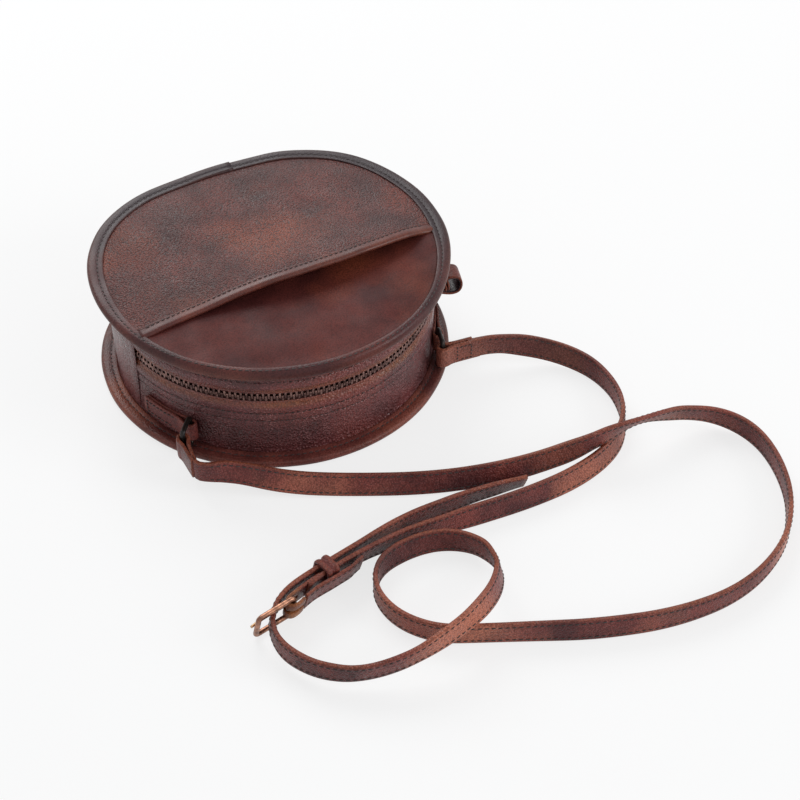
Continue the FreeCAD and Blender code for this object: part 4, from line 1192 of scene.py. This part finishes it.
def strap_section(width, thickness):
    """Section of a strap: aside, up and wear, with domed faces, sunk stitch lines and raw edges."""
    half = width / 2
    flat = thickness / 2
    front = [(aside * flat, up * half, worn) for aside, up, worn in STRAP_FRONT]
    return front + [(-aside, -up, worn) for aside, up, worn in front]


def frames(line, upward):
    """Along, aside and up at each point of a line; up leans as asked and stays square to the line."""
    result = []
    for index, lean in enumerate(per_point(upward, line)):
        along = (line[min(index + 1, len(line) - 1)] - line[max(index - 1, 0)]).normalized()
        up = (lean - along * lean.dot(along)).normalized()
        result.append((along, up.cross(along), up))
    return result


def ribbon_piece(name, line, upward, width, thickness, material, body, slot, nodes=(), shares=None, raw=1.0):
    """Strap along a line, raw at its edges and ends; shares narrow it point by point."""
    section = strap_section(width, thickness)
    shares = shares or per_point(1, line)
    rows = []
    wear = []
    for index, (_, aside, up) in enumerate(frames(line, upward)):
        place, share = line[index], shares[index]
        rows.append([place + aside * across + up * (height * share) for across, height, _ in section])
        at_end = index in (0, len(line) - 1)
        wear += [raw * (1.0 if at_end else worn) for _, _, worn in section]
    return rows_piece(name, rows, material, body, slot, nodes, wear, round_columns=True, capped=True)


def ribbon_stitches(name, line, upward, thickness, body, skip=2, sides=(1, -1), radius=0.0003):
    """Stitch rows near both edges of a strap, on the faces that are asked for."""
    pieces = []
    bases = frames(line, upward)
    for side in sides:
        outward = [aside * side for _, aside, _ in bases]
        for row in (1, -1):
            out, rise = side * STITCHES_ASIDE * thickness, row * STITCHES_UP * STRAP_WIDTH
            seam = [point + aside * out + up * rise for point, (_, aside, up) in zip(line, bases)]
            label = f"{name}_{'outer' if side > 0 else 'inner'}_{'top' if row > 0 else 'low'}"
            pieces.append(stitch_row(label, seam[skip:-skip], outward[skip:-skip], body, "strap_leather",
                                     radius=radius, slant=0.05))
    return pieces


def leaning(line, route, leans):
    """Upward direction along a line, eased between leans at points of its route."""
    keys = []
    for number, lean_x, lean_y in leans:
        place = Vector(route[number])
        nearest = min(range(len(line)), key=lambda index: (line[index] - place).length)
        keys.append((nearest, Vector((lean_x, lean_y, 1))))
    keys.sort(key=lambda key: key[0])
    result = []
    for index in range(len(line)):
        before = max((key for key in keys if key[0] <= index), key=lambda key: key[0], default=keys[0])
        after = min((key for key in keys if key[0] >= index), key=lambda key: key[0], default=keys[-1])
        share = 0 if after[0] == before[0] else ease(index, before[0], after[0])
        result.append(before[1].lerp(after[1], share).normalized())
    return result


def make_strap(name, route, leans, body, node, cut=None):
    """Strap from where its sewn loop lets go of it, with its stitches; cut drops its last points.

    Gives the strap, its stitches, its line, and the line and upward directions of the whole route.
    """
    line = spline_points(name + "_line", route, STRAP_STEP)
    upward = leaning(line, route, leans)
    hidden = LOOP_LENGTH * LOOP_HIDES
    skip = next(index for index, point in enumerate(line) if (point - line[0]).length > hidden)
    shown, shown_up = line[skip:cut], upward[skip:cut]
    strap = ribbon_piece(name, shown, shown_up, STRAP_WIDTH, STRAP_THICKNESS, STRAP_LEATHER, body,
                         "strap_leather", (node,))
    stitches = ribbon_stitches(name + "_stitches", shown, shown_up, STRAP_THICKNESS, body, skip=5,
                               radius=STRAP_STITCH)
    return strap, stitches, shown, line, upward


def make_straps():
    """Both straps with all that is sewn or threaded on them."""
    strap, stitches, path, line, upward = make_strap(
        "strap_long", LONG_ROUTE, LONG_LEANS, LONG_END, "long_strap")
    holes = make_holes(line, upward)
    loop = make_loop("long_loop", "left_ring", LONG_ROUTE[0], LONG_LOOP_HEADING, ("long_strap_loop",),
                     merged=True)
    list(stitches)
    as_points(path)
    strap, stitches, path, _, _ = make_strap(
        "strap_short", SHORT_ROUTE, SHORT_LEANS, SHORT_END, "short_strap", cut=-4)
    loop = make_loop("short_loop", "right_ring", SHORT_ROUTE[0], SHORT_LOOP_HEADING, ("short_strap_loop",))
    buckle = make_buckle()
    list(stitches)
    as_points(path)


def make_holes(line, upward):
    """Punched holes towards the strap's tail, not cut through: dark discs of painted shade with a raised rim
    on both faces.
    """
    parts = []
    bases = frames(line, upward)
    # The dark discs are painted shade that stands for the holes.
    for number in range(HOLE_COUNT):
        index = len(line) - 1 - round((HOLE_FIRST + HOLE_SPACING * number) / STRAP_STEP)
        along, aside, up = bases[index]
        for side in (1, -1):
            rings = []
            for radius, lift in HOLE_RINGS:
                hub = line[index] + aside * (side * lift * STRAP_THICKNESS)
                rings.append(circle(hub, along, up, HOLE_RADIUS * radius, 16))
            parts.append((sum(rings, []), skin(rings, round_columns=True)))
    return mesh_piece("strap_holes_and_shade", *combined(parts), THREAD, "bag", "strap_leather")


def make_loop(name, body, wire, direction, nodes, merged=False):
    """Sewn strap end: the strap folded round the ring's wire, with a box of stitches through both layers.

    A merged loop's long layer runs into the strap, so that only the short one ends in sight.
    """
    place = Vector(wire)
    route = LOOP_ROUTE + (LOOP_MERGED_END if merged else LOOP_LAID_END)
    line = local_line(name + "_fold", route, place, direction)
    slot = "strap_leather"
    pieces = [ribbon_piece(name, line, UP, STRAP_WIDTH, LOOP_THICKNESS, STRAP_LEATHER, body, slot, nodes)]
    along = heading(direction)
    aside = heading(direction + math.pi / 2)
    for side in (1,) if merged else (1, -1):
        face = place + aside * (side * LOOP_BOX_ASIDE)
        box = [face + along * run + UP * (level * LOOP_BOX_HALF) for run, level in along_box(LOOP_BOX, 6)]
        box.append(box[0].copy())
        label = f"{name}_box_{'outer' if side > 0 else 'inner'}"
        pieces.append(stitch_row(label, box, aside * side, body, slot, pitch=0.0026, length=0.002))
    return pieces


def make_buckle():
    """Wire frame, prong, folded strap end round the heel bar, and the keeper over both straps."""
    wire = tube(oblong(BUCKLE_PLACE, BUCKLE_HEADING, *BUCKLE_SIZE, BUCKLE_UP), RING_WIRE, closed=True)
    wire_piece = mesh_piece("buckle_wire", *wire, BUCKLE_METAL, "bag", "buckle_metal", ("buckle_frame",))
    pieces = [wire_piece, make_prong()]

    def strip(name, points, width, material):
        pieces.append(ribbon_piece(name, points, BUCKLE_UP, width, CHAPE_THICKNESS, material, "bag",
                                   "strap_leather"))

    fold = spline_points("chape_line", [(x, y, CHAPE_HEIGHT) for x, y in CHAPE_ROUTE], FOLD_STEP)
    for part, sign in (("upper", 1), ("lower", -1)):
        lifted = [point + BUCKLE_UP * (sign * CHAPE_STRIP_RISE) for point in fold if point.x < CHAPE_SLOT]
        strip("chape_" + part, lifted, CHAPE_STRIP_WIDTH, FOLD_LEATHER)
    solid_from = CHAPE_SLOT - CHAPE_OVERLAP
    inner = [point for point in fold[:len(fold) // 3] if point.x >= solid_from]
    strip("chape_inner", inner, STRAP_WIDTH, STRAP_LEATHER)
    tongue = [point for point in fold[len(fold) // 2:] if point.x >= solid_from]
    strip("chape_tongue", tongue, STRAP_WIDTH, STRAP_LEATHER)
    pieces += ribbon_stitches("chape_stitches", tongue, BUCKLE_UP, CHAPE_THICKNESS, "bag", sides=(-1,))
    pieces.append(make_keeper())
    return pieces


def make_prong():
    """Pointed rod over the frame's far end, rolled round the heel bar as a wide sleeve."""
    outward = heading(BUCKLE_HEADING)
    aside = heading(BUCKLE_HEADING - math.pi / 2)
    turns = [math.radians(-150 + 40 * step) for step in range(7)]
    route = [(PRONG_EYE * math.cos(turn), PRONG_EYE * math.sin(turn)) for turn in turns] + PRONG_ROUTE
    rod = spline_points("prong_line", [BUCKLE_PLACE + outward * x + aside * y for x, y in route],
                        spacing=0.0006)
    taper = [1 - PRONG_TAPER * index / len(rod) for index in range(len(rod))]
    rings = [circle(BUCKLE_PLACE + BUCKLE_UP * height, outward, aside, radius, 20)
             for radius, height in SLEEVE_RINGS]
    sleeve = (sum(rings, []), skin(rings, round_rows=True, round_columns=True))
    whole = combined([tube(rod, PRONG_RADIUS, sides=12, taper=taper), sleeve])
    return mesh_piece("prong_rod", *whole, PRONG_METAL, "buckle_prong", "buckle_metal", ("buckle_prong",))


def make_keeper():
    """Leather band over both straps, with a raised rib along each of its edges."""
    along = heading(KEEPER_HEADING)
    aside = heading(KEEPER_HEADING + math.pi / 2)
    rows = []
    for sign_x, sign_z, start in ((1, 1, 0), (-1, 1, 90), (-1, -1, 180), (1, -1, 270)):
        hub = KEEPER_PLACE + aside * (sign_x * (KEEPER_HALF_ASIDE - KEEPER_CORNER))
        hub += BUCKLE_UP * (sign_z * (KEEPER_HALF_UP - KEEPER_CORNER))
        for step in range(CORNER_PARTS + 1):
            turn = math.radians(start + 90 * step / CORNER_PARTS)
            outward = aside * math.cos(turn) + BUCKLE_UP * math.sin(turn)
            corner = hub + outward * (KEEPER_CORNER - KEEPER_SINK)
            rows.append([corner + along * (share * KEEPER_LENGTH) + outward * (lift * KEEPER_THICKNESS)
                         for share, lift, _ in KEEPER_SECTION])
    wear = [worn for _ in rows for _, _, worn in KEEPER_SECTION]
    return rows_piece("keeper_band", rows, STRAP_LEATHER, "keeper", "strap_leather", ("keeper",), wear,
                      round_rows=True, round_columns=True)


def make_tab(side, direction, run_sign, ring_heading):
    """Folded tab on the wall with its box of stitches, and the ring that it holds."""
    slot = "bag_leather"

    def spot(run, radius):
        height = RING_HEIGHT + TAB_RISE * max(0.0, run)
        return heading(direction + run_sign * run / BAR_RADIUS) * radius + UP * height

    line = spline_points(side + "_tab_line", [spot(*values) for values in TAB_ROUTE], FOLD_STEP)
    ribbon_piece(side + "_tab_fold", line, UP, TAB_HEIGHT, TAB_THICKNESS, STRAP_LEATHER, "bag", slot,
                 (side + "_tab",), raw=0.25)
    box = [spot(run, TAB_BOX_RADIUS) + UP * (level * TAB_BOX_HALF) for run, level in along_box(TAB_BOX, 8)]
    outward = [heading(math.atan2(point.y, point.x)) for point in box]
    stitch_row(side + "_tab_stitches", box, outward, "bag", slot, pitch=0.0027, length=0.002)
    bar = heading(direction) * BAR_RADIUS + UP * RING_HEIGHT
    wire = tube(oblong(bar, ring_heading, *RING_SIZE), RING_WIRE, closed=True)
    mesh_piece(side + "_wire_ring", *wire, RING_METAL, side + "_ring", "ring_metal", (side + "_ring",))


def make_grip():
    """Leather strip folded into a loop at the zip's right-hand end, with a dark flesh-side strip inside that
    is partly painted shade.
    """
    outward = heading(GRIP_ANGLE)
    across = heading(GRIP_ANGLE + math.pi / 2)
    lower = [(radius, -rise) for radius, rise in GRIP_HALF]
    route = lower + [(GRIP_FAR_END, 0)] + GRIP_HALF[::-1]
    points = [outward * radius + UP * (GRIP_HEIGHT + rise) for radius, rise in route]
    line = spline_points("grip_line", points, FOLD_STEP)
    ribbon_piece("grip_strip", line, across, GRIP_WIDTH, GRIP_THICKNESS, BAG_LEATHER, "bag", "bag_leather",
                 ("grip_loop",), raw=0.3)
    middle = outward * GRIP_MIDDLE + UP * GRIP_HEIGHT
    inside = [point + (middle - point).normalized() * GRIP_FLESH_IN
              for point in line if point.dot(outward) > GRIP_FLESH_FROM]
    # The inner strip is dark binding leather, nearly black here: partly painted shade inside the loop.
    ribbon_piece("grip_flesh_side_and_shade", inside, across, GRIP_FLESH_WIDTH, GRIP_FLESH_THICKNESS, BINDING_LEATHER,
                 "bag", "bag_leather", raw=0)


def paint_zip_stops():
    """The end stops stay as the solid that they are."""
    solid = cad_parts["zip_stops"]
    solid.data.materials.clear()
    solid.data.materials.append(ZIP_METAL)


# Stage.

def background_rays(tree):
    """Socket that is 1 for rays that show the white background: straight, mirrored or through glass."""
    path = tree.nodes.new("ShaderNodeLightPath")
    shown = path.outputs["Is Camera Ray"]
    for ray in ("Is Glossy Ray", "Is Transmission Ray"):
        either = tree.nodes.new("ShaderNodeMath")
        either.operation = "MAXIMUM"
        tree.links.new(shown, either.inputs[0])
        tree.links.new(path.outputs[ray], either.inputs[1])
        shown = either.outputs[0]
    return shown


def make_floor():
    """White cloth that also shines by itself for the rays that show the background."""
    mesh = bpy.data.meshes.new("floor")
    mesh.from_pydata([(-6, -6, 0), (6, -6, 0), (6, 6, 0), (-6, 6, 0)], [], [(0, 1, 2, 3)])
    floor = bpy.data.objects.new("floor", mesh)
    bpy.context.scene.collection.objects.link(floor)
    paint = Paint("floor")
    weave = paint.noise(900, 2)
    paint.finish(Base_Color=FLOOR_COLOUR, Roughness=0.95, Normal=paint.bump(weave, 0.04, 0.0003))
    glow = paint.add("ShaderNodeEmission", {"Color": (1, 1, 1, 1), "Strength": 1.0})
    seen = paint.math("MULTIPLY", background_rays(paint.tree), FLOOR_GLOW)
    blend = paint.add("ShaderNodeMixShader", {0: seen, 1: paint.shader.outputs[0], 2: glow.outputs[0]})
    paint.tree.links.new(blend.outputs[0], paint.tree.nodes["Material Output"].inputs["Surface"])
    mesh.materials.append(paint.material)


def make_lamp(name, place, size, power):
    """Round lamp that faces the bag and its straps."""
    lamp = bpy.data.lights.new(name, "AREA")
    lamp.shape = "DISK"
    lamp.size = size
    lamp.energy = power
    holder = bpy.data.objects.new(name, lamp)
    holder.location = place
    holder.rotation_euler = (LAMP_TARGET - Vector(place)).to_track_quat("-Z", "Y").to_euler()
    bpy.context.scene.collection.objects.link(holder)


def make_world():
    """Even light all round, and a plain white background."""
    world = bpy.data.worlds.new("studio")
    world.use_nodes = True
    bpy.context.scene.world = world
    tree = world.node_tree
    light = tree.nodes["Background"]
    light.inputs["Color"].default_value = SKY_COLOUR
    light.inputs["Strength"].default_value = SKY_LIGHT
    seen = tree.nodes.new("ShaderNodeBackground")
    seen.inputs["Color"].default_value = (1, 1, 1, 1)
    choice = tree.nodes.new("ShaderNodeMixShader")
    tree.links.new(background_rays(tree), choice.inputs[0])
    tree.links.new(light.outputs[0], choice.inputs[1])
    tree.links.new(seen.outputs[0], choice.inputs[2])
    tree.links.new(choice.outputs[0], tree.nodes["World Output"].inputs["Surface"])


def make_camera():
    """Camera at the place, heading and lens worked out from the photograph."""
    camera = bpy.data.cameras.new("camera")
    camera.lens = CAMERA_LENS
    camera.sensor_width = CAMERA_SENSOR
    holder = bpy.data.objects.new("camera", camera)
    holder.location = CAMERA_PLACE
    holder.rotation_euler = CAMERA_LOOK.to_track_quat("-Z", "Y").to_euler()
    bpy.context.scene.collection.objects.link(holder)
    bpy.context.scene.camera = holder


bpy.context.scene.view_settings.view_transform = "Standard"
make_camera()
make_world()
make_floor()
for values in LAMPS:
    make_lamp(*values)
make_bindings()
make_panels()
make_trim()
make_linings()
make_walls()
make_zip()
make_slider()
make_straps()
for values in TABS:
    make_tab(*values)
make_grip()
paint_zip_stops()
